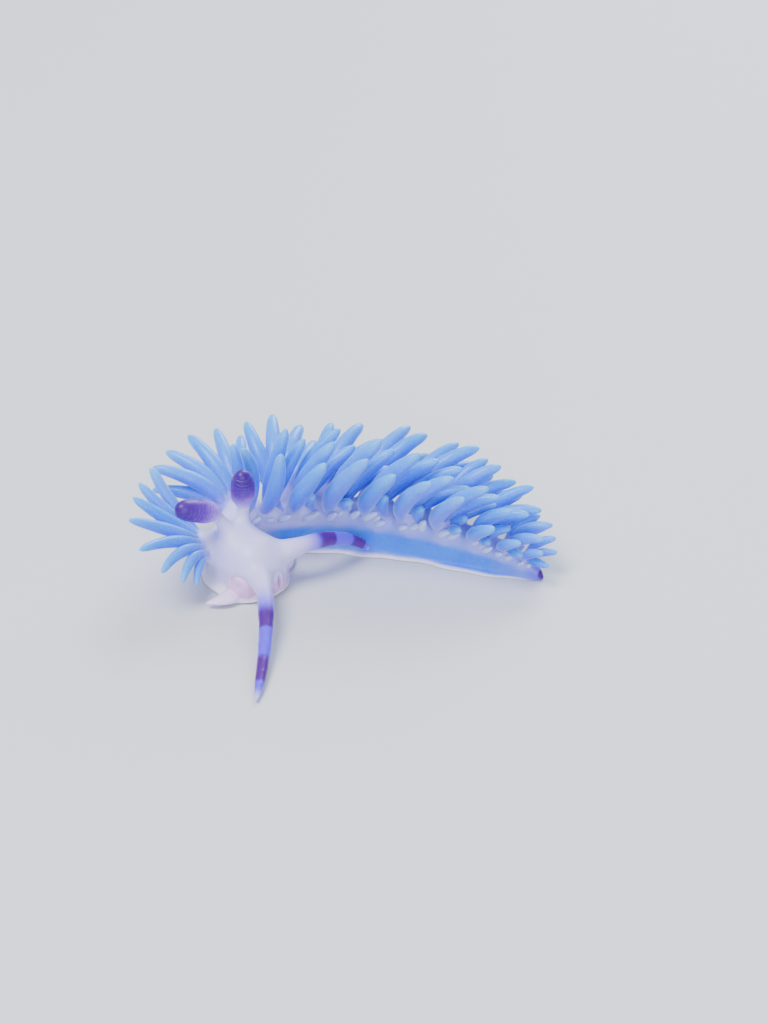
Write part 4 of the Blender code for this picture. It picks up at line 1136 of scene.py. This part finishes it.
def leaf_tree():
    """Paths in, and a slanting leaf on each of their points out."""
    tree = bpy.data.node_groups.new("leaves along paths", "GeometryNodeTree")
    named_input(tree, "Paths", "NodeSocketGeometry")
    named_input(tree, "Slant", "NodeSocketFloat", LEAF_SLANT)
    named_input(tree, "Leaf Thickness", "NodeSocketFloat", LEAF_THICKNESS)
    named_input(tree, "Finish", "NodeSocketMaterial")
    tree.interface.new_socket("Leaves", in_out="OUTPUT", socket_type="NodeSocketGeometry")
    given = add(tree, "NodeGroupInput").outputs
    ball_values = {"Segments": LEAF_SEGMENTS, "Rings": LEAF_RINGS, "Radius": 1.0}
    ball = add(tree, "GeometryNodeMeshUVSphere", None, ball_values).outputs[0]
    squash = add(tree, "ShaderNodeCombineXYZ", None, {0: 1.0, 1: 1.0, 2: given["Leaf Thickness"]}).outputs[0]
    tilt = add(tree, "ShaderNodeCombineXYZ", None, {0: given["Slant"]}).outputs[0]
    leaf_values = {"Geometry": ball, "Scale": squash, "Rotation": tilt}
    leaf = add(tree, "GeometryNodeTransform", None, leaf_values).outputs[0]
    paths = add(tree, "GeometryNodeMeshToCurve", None, {"Mesh": given["Paths"]}).outputs[0]
    spots = add(tree, "GeometryNodeCurveToPoints", {"mode": "EVALUATED"}, {"Curve": paths}).outputs
    size = read_attribute(tree, "thickness")
    set_values = {"Points": spots["Points"], "Instance": leaf, "Rotation": spots["Rotation"], "Scale": size}
    leaves = add(tree, "GeometryNodeInstanceOnPoints", None, set_values).outputs[0]
    smooth = add(tree, "GeometryNodeSetShadeSmooth", None, {"Geometry": leaves}).outputs[0]
    real = add(tree, "GeometryNodeRealizeInstances", None, {"Geometry": smooth}).outputs[0]
    done = add(tree, "GeometryNodeSetMaterial", None, {"Geometry": real, "Material": given["Finish"]})
    add(tree, "NodeGroupOutput", None, {0: done.outputs[0]})
    return tree


LEAVES = leaf_tree()
print("nodes in the leaf tree:", len(LEAVES.nodes))


# %% The clubs
FIRST_LEAF, LAST_LEAF = 0.31, 0.93
LEAF_REACH = 1.02
CORE_START, CORE_POINTS, CORE_SIDES = 0.22, 40, 32
CORE_TIP_START, CORE_FULLNESS, CORE_TIP_FULLNESS = 0.9, 0.94, 0.98


def make_club(side):
    """The leaves of one rhinophore, over a smooth core that closes its tip."""
    shares = np.linspace(FIRST_LEAF, LAST_LEAF, LEAF_COUNT)
    points, _ = curve_points(rhinophore(side), shares)
    rims = path_mesh("leaf places", [(points, rhinophore_profile(shares) * LEAF_REACH, shares, 0.0)])
    club = grown(f"club_{side}", rims, LEAVES, Finish=HORN)
    core_shares = np.linspace(CORE_START, 1.0, CORE_POINTS)
    core_points, _ = curve_points(rhinophore(side), core_shares)
    fullness = np.where(core_shares < CORE_TIP_START, CORE_FULLNESS, CORE_TIP_FULLNESS)
    core_radii = rhinophore_profile(core_shares) * fullness
    core_paths = path_mesh("core", [(core_points, core_radii, core_shares, 0.0)])
    core = grown(f"core_{side}", core_paths, FINGERS, Sides=CORE_SIDES, Lumps=0.0, Finish=HORN)
    bm = bmesh.new()
    bm.from_mesh(club.data)
    bm.from_mesh(core.data)
    for face in bm.faces:
        face.material_index = 0
    bm.to_mesh(club.data)
    bm.free()
    club.data.materials.clear()
    club.data.materials.append(HORN)
    bpy.data.objects.remove(core)
    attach(club, "root")
    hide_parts(f"rhinophore_{side}")
    return triangle_count(club)


print("triangles in the clubs:", [make_club(side) for side in ("left", "right")])


# %% [markdown]
# ## One skin over all the flesh
#
# Head, neck, trunk, tail, feelers, foot corners and the pads under the fans are one living surface. Their
# forms are laid into each other as closed shells, a voxel remesh melts them into one, and many rounds of
# smoothing draw soft fillets where they meet. The remesh works in millimetres, since its finest voxel is
# 0.1 mm at true size. Each form is listed with what its points know: how far along, up and out they are.

# %% Closed shells and what their points know
KNOWN = ("station", "rise", "reach", "pad", "horn", "fold")
# How far up each form counts for the colours.
RISES = {"feeler": 0.6, "stalk": 1.0, "corner": 0.1, "pad": 0.8, "collar": 0.85, "lip": 0.3, "fold": 0.3}
THINNEST_RING = 0.01 * MM
# A way that none of the curves starts along.
ODD_WAY = (0.31, 0.17, 0.93)


class Shells:
    """Closed shells gathered for one skin, with the numbers that each of their points knows."""

    def __init__(self):
        self.points, self.faces, self.known = [], [], []

    def add(self, points, faces, **known):
        first = sum(len(p) for p in self.points)
        self.faces += [tuple(first + i for i in face) for face in faces]
        self.points.append(np.asarray(points))
        rows = np.zeros((len(points), len(KNOWN)))
        for name, value in known.items():
            rows[:, KNOWN.index(name)] = value
        self.known.append(rows)


def loft_faces(rows, columns):
    """Quads between rings of points, with both ends closed."""
    faces = [tuple(range(columns))[::-1], tuple(range((rows - 1) * columns, rows * columns))]
    for r in range(rows - 1):
        for c in range(columns):
            d = (c + 1) % columns
            faces.append((r * columns + c, r * columns + d, (r + 1) * columns + d, (r + 1) * columns + c))
    return faces


def tube_rings(points, ways, radii, sides, flatness=1.0):
    """Rings round a curve, as one array of points."""
    across = unit(np.cross(ways[0], ODD_WAY))
    turns = np.arange(sides)[:, None] * 2.0 * math.pi / sides
    rings = []
    for place, way, radius in zip(points, ways, radii):
        across = unit(across - way * (across @ way))
        upright = np.cross(way, across) * flatness
        rings.append(place + max(radius, THINNEST_RING) * (np.cos(turns) * across + np.sin(turns) * upright))
    return np.vstack(rings)


# %% The shell of the body
BODY_SPACING = 0.25 * MM
RING_ANGLES = np.arange(0.0, 180.1, 7.5)
SKIN_LIFT = 0.2
HEM_WIDTH = 0.26 * MM
HEM_WAVE, HEM_RIPPLE = 0.4, 0.5
HEM_STEPS = (1.15 * MM, 0.47 * MM)
HEM_START, HEM_END = 2.5 * MM, 1.2 * MM
SNOUT_STATIONS = np.array([0.0, 0.04, 0.1, 0.2, 0.34, 0.5, 0.7, 0.9, 1.1, 1.3]) * MM
TAIL_STATIONS = BODY_LENGTH - np.array([0.7, 0.5, 0.34, 0.2, 0.1, 0.04, 0.0]) * MM
EVEN_START, EVEN_END = 1.5 * MM, BODY_LENGTH - 0.8 * MM


def hem_width(station, sign):
    """How far the wavy hem of the foot reaches past the foot of the solids."""
    wave = math.sin(station / HEM_STEPS[0] + sign)
    wave += HEM_RIPPLE * math.sin(station / HEM_STEPS[1] + 2.0 * sign)
    whole = smoothstep(station / HEM_START) * smoothstep((BODY_LENGTH - station) / HEM_END)
    return HEM_WIDTH * float(whole) * (1.0 + HEM_WAVE * wave)


def body_ring(station):
    """The outline of the body at a station, with how far up each point is."""
    half, low, shoulder, high = section_sizes(station)
    low *= SKIN_LIFT
    place, _, left = spine(station)
    edge = min(FOOT_EDGE, FOOT_EDGE_SHARE * (shoulder - low))
    upper = [skin_point(station, a) for a in RING_ANGLES]
    flanks = {}
    for sign in (-1.0, 1.0):
        flanks[sign] = []
        for aside, share, rise in FOOT_OUTLINE:
            out = half * aside + (hem_width(station, sign) if aside > 1.0 else 0.0)
            level = low + share * (shoulder - low) + rise * edge
            flanks[sign].append(np.array([*(place + left * sign * out), level]))
    ring = np.array(upper + flanks[-1.0] + [np.array([*place, low])] + flanks[1.0][::-1])
    return ring, (ring[:, 2] - low) / max(high - low, TINY)


def add_body(shells):
    """One closed shell from snout to tail, with its rings closer at both ends."""
    middle = np.arange(EVEN_START, EVEN_END, BODY_SPACING)
    stations = np.concatenate([SNOUT_STATIONS, middle, TAIL_STATIONS])
    rings, rises = zip(*(body_ring(s) for s in stations))
    known = np.repeat(stations / BODY_LENGTH, len(rings[0]))
    faces = loft_faces(len(stations), len(rings[0]))
    shells.add(np.vstack(rings), faces, station=known, rise=np.concatenate(rises))


# %% The shells of feelers, horns and foot corners
CORNER_STATION = 1.9 * MM
CORNER_LEVEL = 0.34 * MM
CORNER_LEAD = 0.6 * MM
CORNER_SWEEP = 1.15 * MM
CORNER_OFFSET = 0.05 * MM
CORNER_FLATNESS = 0.52
CORNER_SHARES = np.array([0.0, 0.3, 0.6, 0.85, 1.0])
CORNER_RADII = np.array([0.62, 0.5, 0.36, 0.2, 0.0]) * MM
CORNER_DROP = 0.1
CORNER_RINGS, CORNER_SIDES = 24, 20
FEELER_SHARES = np.concatenate([np.linspace(0.0, 0.9, 46), [0.93, 0.955, 0.975, 0.99, 1.0]])
FEELER_SIDES = 28
STALK_SHARES = np.linspace(0.0, 0.5, 16)
STALK_SIDES = 24
# How deep each form starts inside the body.
FEELER_SINK, STALK_SINK, CORNER_SINK, COLLAR_SINK = 0.9 * MM, 0.5 * MM, 0.8 * MM, 0.3 * MM
# Where each feeler has the edges of its bands, and what its points know there.
BAND_PLACES = {"left": (0.0, 0.32, 0.477, 0.686, 0.89, 1.0), "right": (0.0, 0.378, 0.512, 0.71, 0.884, 1.0)}
BAND_REACHES = (0.0, 0.275, 0.41, 0.59, 0.765, 1.0)


def sunk_rings(curve, shares, radii, depth, sides, flatness=1.0):
    """Rings along a curve, with one more that lies deeper in the body than the root."""
    points, ways = curve_points(curve, shares)
    points, ways = np.vstack([points[0] - ways[0] * depth, points]), np.vstack([ways[0], ways])
    return tube_rings(points, ways, np.concatenate([radii[:1], radii]), sides, flatness)


def ring_shares(shares, sides):
    """The share along the curve of every point of those rings."""
    return np.repeat(np.concatenate([[0.0], shares]), sides)


def add_feeler(shells, side):
    """An oral tentacle, which may touch the floor but not sink into it."""
    radii = tentacle_profile(FEELER_SHARES)
    rings = sunk_rings(tentacle(side), FEELER_SHARES, radii, FEELER_SINK, FEELER_SIDES)
    rings[:, 2] = np.maximum(rings[:, 2], 0.0)
    reach = np.interp(ring_shares(FEELER_SHARES, FEELER_SIDES), BAND_PLACES[side], BAND_REACHES)
    faces = loft_faces(len(FEELER_SHARES) + 1, FEELER_SIDES)
    shells.add(rings, faces, reach=reach, rise=RISES["feeler"])


def add_stalk(shells, side):
    """The stalk of a rhinophore, up into its club."""
    radii = np.minimum(rhinophore_profile(STALK_SHARES), STALK_RADIUS + STALK_FOOT)
    rings = sunk_rings(rhinophore(side), STALK_SHARES, radii, STALK_SINK, STALK_SIDES)
    horn = ring_shares(STALK_SHARES, STALK_SIDES)
    station = RHINOPHORE_STATION / BODY_LENGTH
    faces = loft_faces(len(STALK_SHARES) + 1, STALK_SIDES)
    shells.add(rings, faces, horn=horn, rise=RISES["stalk"], station=station)


def add_foot_corner(shells, sign):
    """The small horn that each front corner of the foot draws out into."""
    half, low, _, _ = section_sizes(CORNER_STATION)
    place, back, left = spine(CORNER_STATION)
    out = flat(left * sign)
    edge = flat(place) + out * (half * FOOT_FLARE + CORNER_OFFSET + GAP)
    root = edge + UP * (low + CORNER_LEVEL)
    middle = root + out * CORNER_LEAD
    tip = middle + unit(out + flat(back) - CORNER_DROP * UP) * CORNER_SWEEP
    shares = np.linspace(0.0, 1.0, CORNER_RINGS)
    radii = np.interp(shares, CORNER_SHARES, CORNER_RADII)
    rings = sunk_rings((root, middle, tip), shares, radii, CORNER_SINK, CORNER_SIDES, CORNER_FLATNESS)
    faces = loft_faces(CORNER_RINGS + 1, CORNER_SIDES)
    shells.add(rings, faces, rise=RISES["corner"], station=CORNER_STATION / BODY_LENGTH)


# %% The shells of pads and collars
PAD_STRETCH, PAD_WIDTH, PAD_FULLNESS = 1.12, 0.62, 0.92
COLLAR_SHARES = np.linspace(0.0, 0.2, 6)
COLLAR_SWELL = np.linspace(1.12, 0.92, len(COLLAR_SHARES))
COLLAR_SIDES = 14
COLLAR_STATION = 0.5
BALL_CUTS = 3


def ball():
    """Points and faces of a fine round ball of radius 1."""
    bm = bmesh.new()
    bmesh.ops.create_icosphere(bm, subdivisions=BALL_CUTS, radius=1.0)
    points = np.array([v.co for v in bm.verts])
    faces = [tuple(v.index for v in f.verts) for f in bm.faces]
    bm.free()
    return points, faces


BALL = ball()


def add_lump(shells, centre, axes, radii, **known):
    """A ball stretched along three axes."""
    points, faces = BALL
    shells.add(centre + points @ (np.array(axes) * np.array(radii)[:, None]), faces, **known)


def add_pads(shells):
    """The raised pad under each fan."""
    for side, _, fans in SIDES:
        for k in range(len(fans)):
            at, middle = CLUSTER_STATIONS[side][k], PAD_MIDDLES[side][k]
            normal = skin_normal(at, middle)
            _, back, _ = spine(at)
            along = unit(flat(back) - normal * (flat(back) @ normal))
            axes = (along, np.cross(normal, along), normal)
            thickness = pad_thickness(k)
            half, _, _, _ = section_sizes(at)
            half_length = PAD_HALF_LENGTHS[side][k]
            radii = (half_length * PAD_STRETCH, half * PAD_WIDTH, GAP + thickness * PAD_FULLNESS)
            known = {"pad": 1.0, "rise": RISES["pad"], "station": at / BODY_LENGTH}
            add_lump(shells, skin_point(at, middle), axes, radii, **known)


def add_collars(shells):
    """A short collar of skin round the root of each ceras."""
    faces = loft_faces(len(COLLAR_SHARES) + 1, COLLAR_SIDES)
    for ceras in CERATA:
        curve = (ceras["root"], ceras["bend"], ceras["tip"])
        radii = ceras["radius"] * ceras_thickness(COLLAR_SHARES) * COLLAR_SWELL
        rings = sunk_rings(curve, COLLAR_SHARES, radii, COLLAR_SINK, COLLAR_SIDES)
        shells.add(rings, faces, pad=1.0, rise=RISES["collar"], station=COLLAR_STATION)


# %% The shells of lips and folds
MOUTH_STATION = 0.35 * MM
MOUTH_LEVEL = HEAD_LIFT + 0.85 * MM
LIP_RADII = np.array([0.42, 0.36, 0.5]) * MM
LIP_ASIDE = 0.3 * MM
FOLD_STATION = 1.55 * MM
FOLD_LEVEL = 0.85 * MM
FOLD_OUT = 0.84
FOLD_RADII = np.array([0.85, 0.55, 0.8]) * MM


def add_lips(shells):
    """Two upright lips, side by side."""
    place, back, left = spine(MOUTH_STATION)
    axes = (flat(-back), flat(left), UP)
    mouth = flat(place) + UP * MOUTH_LEVEL
    for sign in (-1.0, 1.0):
        add_lump(shells, mouth + axes[1] * sign * LIP_ASIDE, axes, LIP_RADII, rise=RISES["lip"])


def fold_frame(sign):
    """The middle of the fore-foot's fold on one side, and its ways back, out and up."""
    half, _, _, _ = section_sizes(FOLD_STATION)
    place, back, left = spine(FOLD_STATION)
    out = flat(left * sign)
    return flat(place) + out * half * FOLD_OUT + UP * FOLD_LEVEL, (flat(back), out, UP)


def add_folds(shells):
    """The soft fold on each side of the fore-foot."""
    known = {"fold": 1.0, "rise": RISES["fold"], "station": FOLD_STATION / BODY_LENGTH}
    for sign in (-1.0, 1.0):
        middle, axes = fold_frame(sign)
        add_lump(shells, middle, axes, FOLD_RADII, **known)


# %% All the shells together
def gather_shells():
    """Every form that the skin covers."""
    shells = Shells()
    add_body(shells)
    for side, sign, _ in SIDES:
        add_feeler(shells, side)
        add_stalk(shells, side)
        add_foot_corner(shells, sign)
    add_pads(shells)
    add_collars(shells)
    add_lips(shells)
    add_folds(shells)
    return shells


SHELLS = gather_shells()
print("shell points:", sum(len(p) for p in SHELLS.points))


# %% Melting the shells together
# In millimetres.
VOXEL = 0.084


def melted(shells):
    """The mesh of one closed surface round all the shells."""
    points = np.vstack(shells.points) / MM
    mesh = bpy.data.meshes.new("shells")
    mesh.from_pydata(points.tolist(), [], shells.faces)
    obj = placed("shells", mesh)
    remesh = obj.modifiers.new("melt", "REMESH")
    remesh.mode = "VOXEL"
    remesh.voxel_size = VOXEL
    graph = bpy.context.evaluated_depsgraph_get()
    made = bpy.data.meshes.new_from_object(obj.evaluated_get(graph))
    bpy.data.objects.remove(obj)
    return made


def points_of(mesh):
    """A mesh's points, one row each."""
    numbers = np.zeros(len(mesh.vertices) * 3)
    mesh.vertices.foreach_get("co", numbers)
    return numbers.reshape(-1, 3)


def edges_of(mesh):
    """The two ends of each edge, one row each."""
    pairs = np.zeros(len(mesh.edges) * 2, int)
    mesh.edges.foreach_get("vertices", pairs)
    return pairs.reshape(-1, 2)


SKIN_MESH = melted(SHELLS)
print("skin points:", len(SKIN_MESH.vertices))


# %% [markdown]
# ## What the skin's points know
#
# Every point of the new skin asks the nearest point of the shells what it knows, and a few rounds of
# smoothing even the answers out.

# %% Passing the numbers on
def spread(values, edges, rounds, share=0.5):
    """Averages each point's values with its neighbours', over and over."""
    count = len(values)
    starts = np.concatenate([edges[:, 0], edges[:, 1]])
    ends = np.concatenate([edges[:, 1], edges[:, 0]])
    valence = np.maximum(np.bincount(starts, minlength=count), 1)
    share = np.broadcast_to(share, count)
    values = values.copy()
    for _ in range(rounds):
        for column in range(values.shape[1]):
            mean = np.bincount(starts, weights=values[ends, column], minlength=count) / valence
            values[:, column] += share * (mean - values[:, column])
    return values


def inherited(mesh, shells):
    """What the nearest point of the shells knows, for each point of the mesh."""
    points, known = np.vstack(shells.points) / MM, np.vstack(shells.known)
    tree = KDTree(len(points))
    for i, point in enumerate(points):
        tree.insert(point, i)
    tree.balance()
    nearest = [tree.find(point)[1] for point in points_of(mesh)]
    return known[nearest]


KNOWN_ROUNDS = 8
EDGES = edges_of(SKIN_MESH)
KNOWN_ROWS = spread(inherited(SKIN_MESH, SHELLS), EDGES, KNOWN_ROUNDS)
print("numbers on each point:", KNOWN_ROWS.shape[1])


# %% [markdown]
# ## Softening the joins
#
# A few rounds over the whole skin take the steps of the voxels out. Then many more rounds run only where
# forms meet: round the pads, under the feelers and at the foot of the horns. The hem of the foot, the
# lips, the folds and the feelers' thin ends are left out, so they stay crisp.

# %% Smoothing where forms meet
FIRST_ROUNDS, JOIN_ROUNDS = 8, 130
# Levels in millimetres, then shares along feelers and horns.
JOIN_LEVEL, JOIN_RAMP = 0.55, 0.5
THIN_START, THIN_RAMP = 0.10, 0.12
JOIN_STRENGTH, ROOT_STRENGTH = 0.75, 0.9
TENTACLE_JOIN, RHINOPHORE_JOIN = 1.5 * MM, 1.1 * MM
CRISP_RADIUS = 1.5 * MM


def near(points, centre, radius):
    """1 at a place and 0 from radius on, in millimetres."""
    return smoothstep(1.0 - np.linalg.norm(points - np.asarray(centre) / MM, axis=1) / (radius / MM))


def join_mask(points):
    """How much each point takes part in the long smoothing."""
    known = dict(zip(KNOWN, KNOWN_ROWS.T))
    mask = JOIN_STRENGTH * smoothstep((points[:, 2] - JOIN_LEVEL) / JOIN_RAMP)
    for thin in ("reach", "horn"):
        mask *= 1.0 - smoothstep((known[thin] - THIN_START) / THIN_RAMP)
    for side in ("left", "right"):
        mask = np.maximum(mask, ROOT_STRENGTH * near(points, tentacle(side)[0], TENTACLE_JOIN))
        mask = np.maximum(mask, ROOT_STRENGTH * near(points, rhinophore(side)[0], RHINOPHORE_JOIN))
    place, _, _ = spine(MOUTH_STATION)
    for crisp in (np.array([*place, MOUTH_LEVEL]), fold_frame(-1.0)[0], fold_frame(1.0)[0]):
        mask *= 1.0 - near(points, crisp, CRISP_RADIUS)
    return mask


def softened(mesh):
    """The skin's points after the short smoothing all over and the long one at the joins."""
    points = spread(points_of(mesh), EDGES, FIRST_ROUNDS)
    return spread(points, EDGES, JOIN_ROUNDS, 0.5 * join_mask(points))


SKIN_POINTS = softened(SKIN_MESH)
print("skin moved at most", round(float(np.abs(SKIN_POINTS - points_of(SKIN_MESH)).max()), 3), "mm")


# %% [markdown]
# ## The mouth, and a living unevenness
#
# The mouth is a short upright slit between two soft lips, with a shallow crease round them. Slit and
# crease are pressed into the skin, and so are a crease along the upper edge of each fold and a small
# pore. The rest of the skin gets slow swells a few hundredths of a millimetre high, as no living surface
# is even. Nothing may sink below the floor.

# %% Pressing the mouth
# In millimetres: half the slit's width and height, and the lips' own.
SLIT_HALF = (0.075, 0.36)
LIP_EDGE = (0.64, 0.68)
SLIT_DEPTH = 0.36
LIP_CREASE_DEPTH, LIP_CREASE_WIDTH = 0.1, 0.2


def mouth_masks(points):
    """How much each point lies in the slit of the mouth, and how much in the crease round the lips."""
    place, back, left = spine(MOUTH_STATION)
    offset = points - np.array([*place, MOUTH_LEVEL]) / MM
    aside, level, ahead = offset @ flat(left), offset[:, 2], offset @ flat(-back)
    slit = np.exp(-((aside / SLIT_HALF[0]) ** 2) - (level / SLIT_HALF[1]) ** 4)
    past_lips = np.hypot(aside / LIP_EDGE[0], level / LIP_EDGE[1]) - 1.0
    crease = np.exp(-((past_lips / LIP_CREASE_WIDTH) ** 2))
    return slit * (ahead > 0.0), crease * (ahead > 0.0)


def press_mouth(points):
    """The skin with the slit and the crease round the lips pressed in."""
    _, back, _ = spine(MOUTH_STATION)
    slit, crease = mouth_masks(points)
    return points - flat(-back) * (SLIT_DEPTH * slit + LIP_CREASE_DEPTH * crease)[:, None]


# %% Creasing the folds
FOLD_TURNS = np.radians(np.linspace(8.0, 165.0, 40))
# In millimetres.
CREASE_DEPTH, CREASE_WIDTH = 0.13, 0.1
PORE_DEPTH, PORE_WIDTH = 0.12, 0.13
FOLD_INSIDE = -0.5
# As a share of the fold's height.
PORE_LEVEL = 0.3


def press_folds(points):
    """A crease along the upper edge of each fold, and a small pore below it."""
    points = points.copy()
    for sign in (-1.0, 1.0):
        middle, (back, out, up) = fold_frame(sign)
        ring = [
            middle + back * math.cos(a) * FOLD_RADII[0] + up * math.sin(a) * FOLD_RADII[2]
            for a in FOLD_TURNS
        ]
        offset = points[:, None] - np.array(ring)[None] / MM
        # Only the distance across the surface counts, so the part of it along out is left off.
        offset = offset - (offset @ out)[..., None] * out
        away = np.linalg.norm(offset, axis=2).min(axis=1)
        beside = (points - middle / MM) @ out > FOLD_INSIDE
        points -= out * (CREASE_DEPTH * np.exp(-((away / CREASE_WIDTH) ** 2)) * beside)[:, None]
        pore = (middle + up * FOLD_RADII[2] * PORE_LEVEL) / MM - points
        pore = np.linalg.norm(pore - (pore @ out)[:, None] * out, axis=1)
        points -= out * (PORE_DEPTH * np.exp(-((pore / PORE_WIDTH) ** 2)) * beside)[:, None]
    return points


# %% Laying the swells
# In millimetres.
SWELL_HEIGHT, SWELL_SIZE = 0.035, 0.9
SWELL_START, SWELL_RAMP = 0.3, 0.6
LEAST_BULGE, FIRM_BULGE = 1e-6, 0.003
BULGE_ROUNDS = 12


def lay_swells(points):
    """Slow swells along the way each point bulges out. Flat places and the foot stay as they are."""
    heights = np.array([noise.noise(Vector(p / SWELL_SIZE)) for p in points])
    out = points - spread(points, EDGES, BULGE_ROUNDS)
    length = np.linalg.norm(out, axis=1, keepdims=True) + LEAST_BULGE
    grip = np.clip(length / FIRM_BULGE, 0.0, 1.0)
    free = smoothstep((points[:, 2:3] - SWELL_START) / SWELL_RAMP)
    return points + out / length * grip * free * SWELL_HEIGHT * heights[:, None]


# %% The finished skin
def finish_skin(mesh, points):
    """The skin as one piece, at true size, which stands for every node of flesh."""
    set_numbers(mesh, "slit", mouth_masks(points)[0])
    points = press_folds(press_mouth(points))
    points = lay_swells(points)
    points[:, 2] = np.maximum(points[:, 2], 0.0)
    mesh.vertices.foreach_set("co", (points * MM).ravel())
    mesh.shade_smooth()
    for name, values in zip(KNOWN, KNOWN_ROWS.T):
        set_numbers(mesh, name, values)
    mesh.materials.clear()
    mesh.materials.append(SKIN)
    skin = placed("skin", mesh)
    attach(skin, "root")
    flesh = [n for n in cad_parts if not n.startswith(("cerata_", "rhinophore_"))]
    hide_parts(*sorted(flesh))
    return skin


SKIN_PIECE = finish_skin(SKIN_MESH, SKIN_POINTS)
print("triangles in the skin:", triangle_count(SKIN_PIECE))


# %% [markdown]
# ## Floor, light and camera
#
# A plain pale floor and three big soft lamps show the animal as in a studio. The camera stands where the
# photo's did, looking down on the slug's left side, and the picture is as tall as the photo's field at
# that distance.

# %% The stage
FLOOR_SIZE = 4.0
FLOOR_COLOUR, FLOOR_ROUGHNESS = (0.62, 0.64, 0.68), 0.6
FLOOR_MOTTLE = 12 * MM
ROOM_COLOUR, ROOM_LIGHT = (0.80, 0.87, 1.0), 0.55
# Name, place, size, power in watts and colour of each lamp.
LAMPS = (
    ("key", (-0.12, -0.05, 0.30), 0.16, 1.5, (1.0, 0.98, 0.97)),
    ("fill", (0.03, -0.28, 0.13), 0.24, 0.8, (0.94, 0.96, 1.0)),
    ("back", (0.10, 0.28, 0.20), 0.20, 1.4, (0.85, 0.93, 1.0)),
)


def floor_finish():
    """A pale floor, very slightly mottled."""
    bench = Bench("pale floor")
    mottle = bench.grain(FLOOR_MOTTLE).between(0.3, 0.7)
    shade = bench.mix(mottle * 0.04, FLOOR_COLOUR, tuple(c * 0.9 for c in FLOOR_COLOUR))
    return bench.finish(Base_Color=shade, Roughness=FLOOR_ROUGHNESS)


def make_floor():
    half = FLOOR_SIZE / 2
    mesh = bpy.data.meshes.new("floor")
    corners = [(-half, -half, 0), (half, -half, 0), (half, half, 0), (-half, half, 0)]
    mesh.from_pydata(corners, [], [(0, 1, 2, 3)])
    mesh.materials.append(floor_finish())
    floor = placed("floor", mesh)


def make_lamp(name, place, size, power, colour):
    """A square lamp that faces the origin."""
    lamp = bpy.data.lights.new(name, "AREA")
    lamp.size = size
    lamp.energy = power
    lamp.color = colour
    obj = placed(name, lamp)
    obj.location = place
    obj.rotation_euler = (-Vector(place)).to_track_quat("-Z", "Y").to_euler()


def make_world():
    """Even, slightly blue light from all round."""
    world = bpy.data.worlds.new("soft room")
    world.use_nodes = True
    background = world.node_tree.nodes["Background"]
    background.inputs["Color"].default_value = (*ROOM_COLOUR, 1.0)
    background.inputs["Strength"].default_value = ROOM_LIGHT
    bpy.context.scene.world = world


make_floor()
make_world()
for each_lamp in LAMPS:
    make_lamp(*each_lamp)
print("lamps:", len(LAMPS))


# %% The camera
TARGET = Vector((0.00247, 0.0093, 0.0))
DISTANCE = 0.150
ELEVATION = math.radians(32.0)
PICTURE_PIXELS, PIXELS_PER_MM = 1024, 15.6
PICTURE_HEIGHT = PICTURE_PIXELS / PIXELS_PER_MM * MM
SENSOR = 36.0
NEAREST_SEEN = 0.005


def make_camera():
    """A camera that frames PICTURE_HEIGHT at the target's distance."""
    lens = bpy.data.cameras.new("camera")
    lens.sensor_width = SENSOR
    lens.lens = SENSOR * DISTANCE / PICTURE_HEIGHT
    lens.clip_start = NEAREST_SEEN
    camera = placed("camera", lens)
    away = Vector((0.0, -math.cos(ELEVATION), math.sin(ELEVATION)))
    camera.location = TARGET + away * DISTANCE
    camera.rotation_euler = (math.pi / 2 - ELEVATION, 0.0, 0.0)
    bpy.context.scene.camera = camera
    return lens


print("focal length", round(make_camera().lens, 1), "mm")
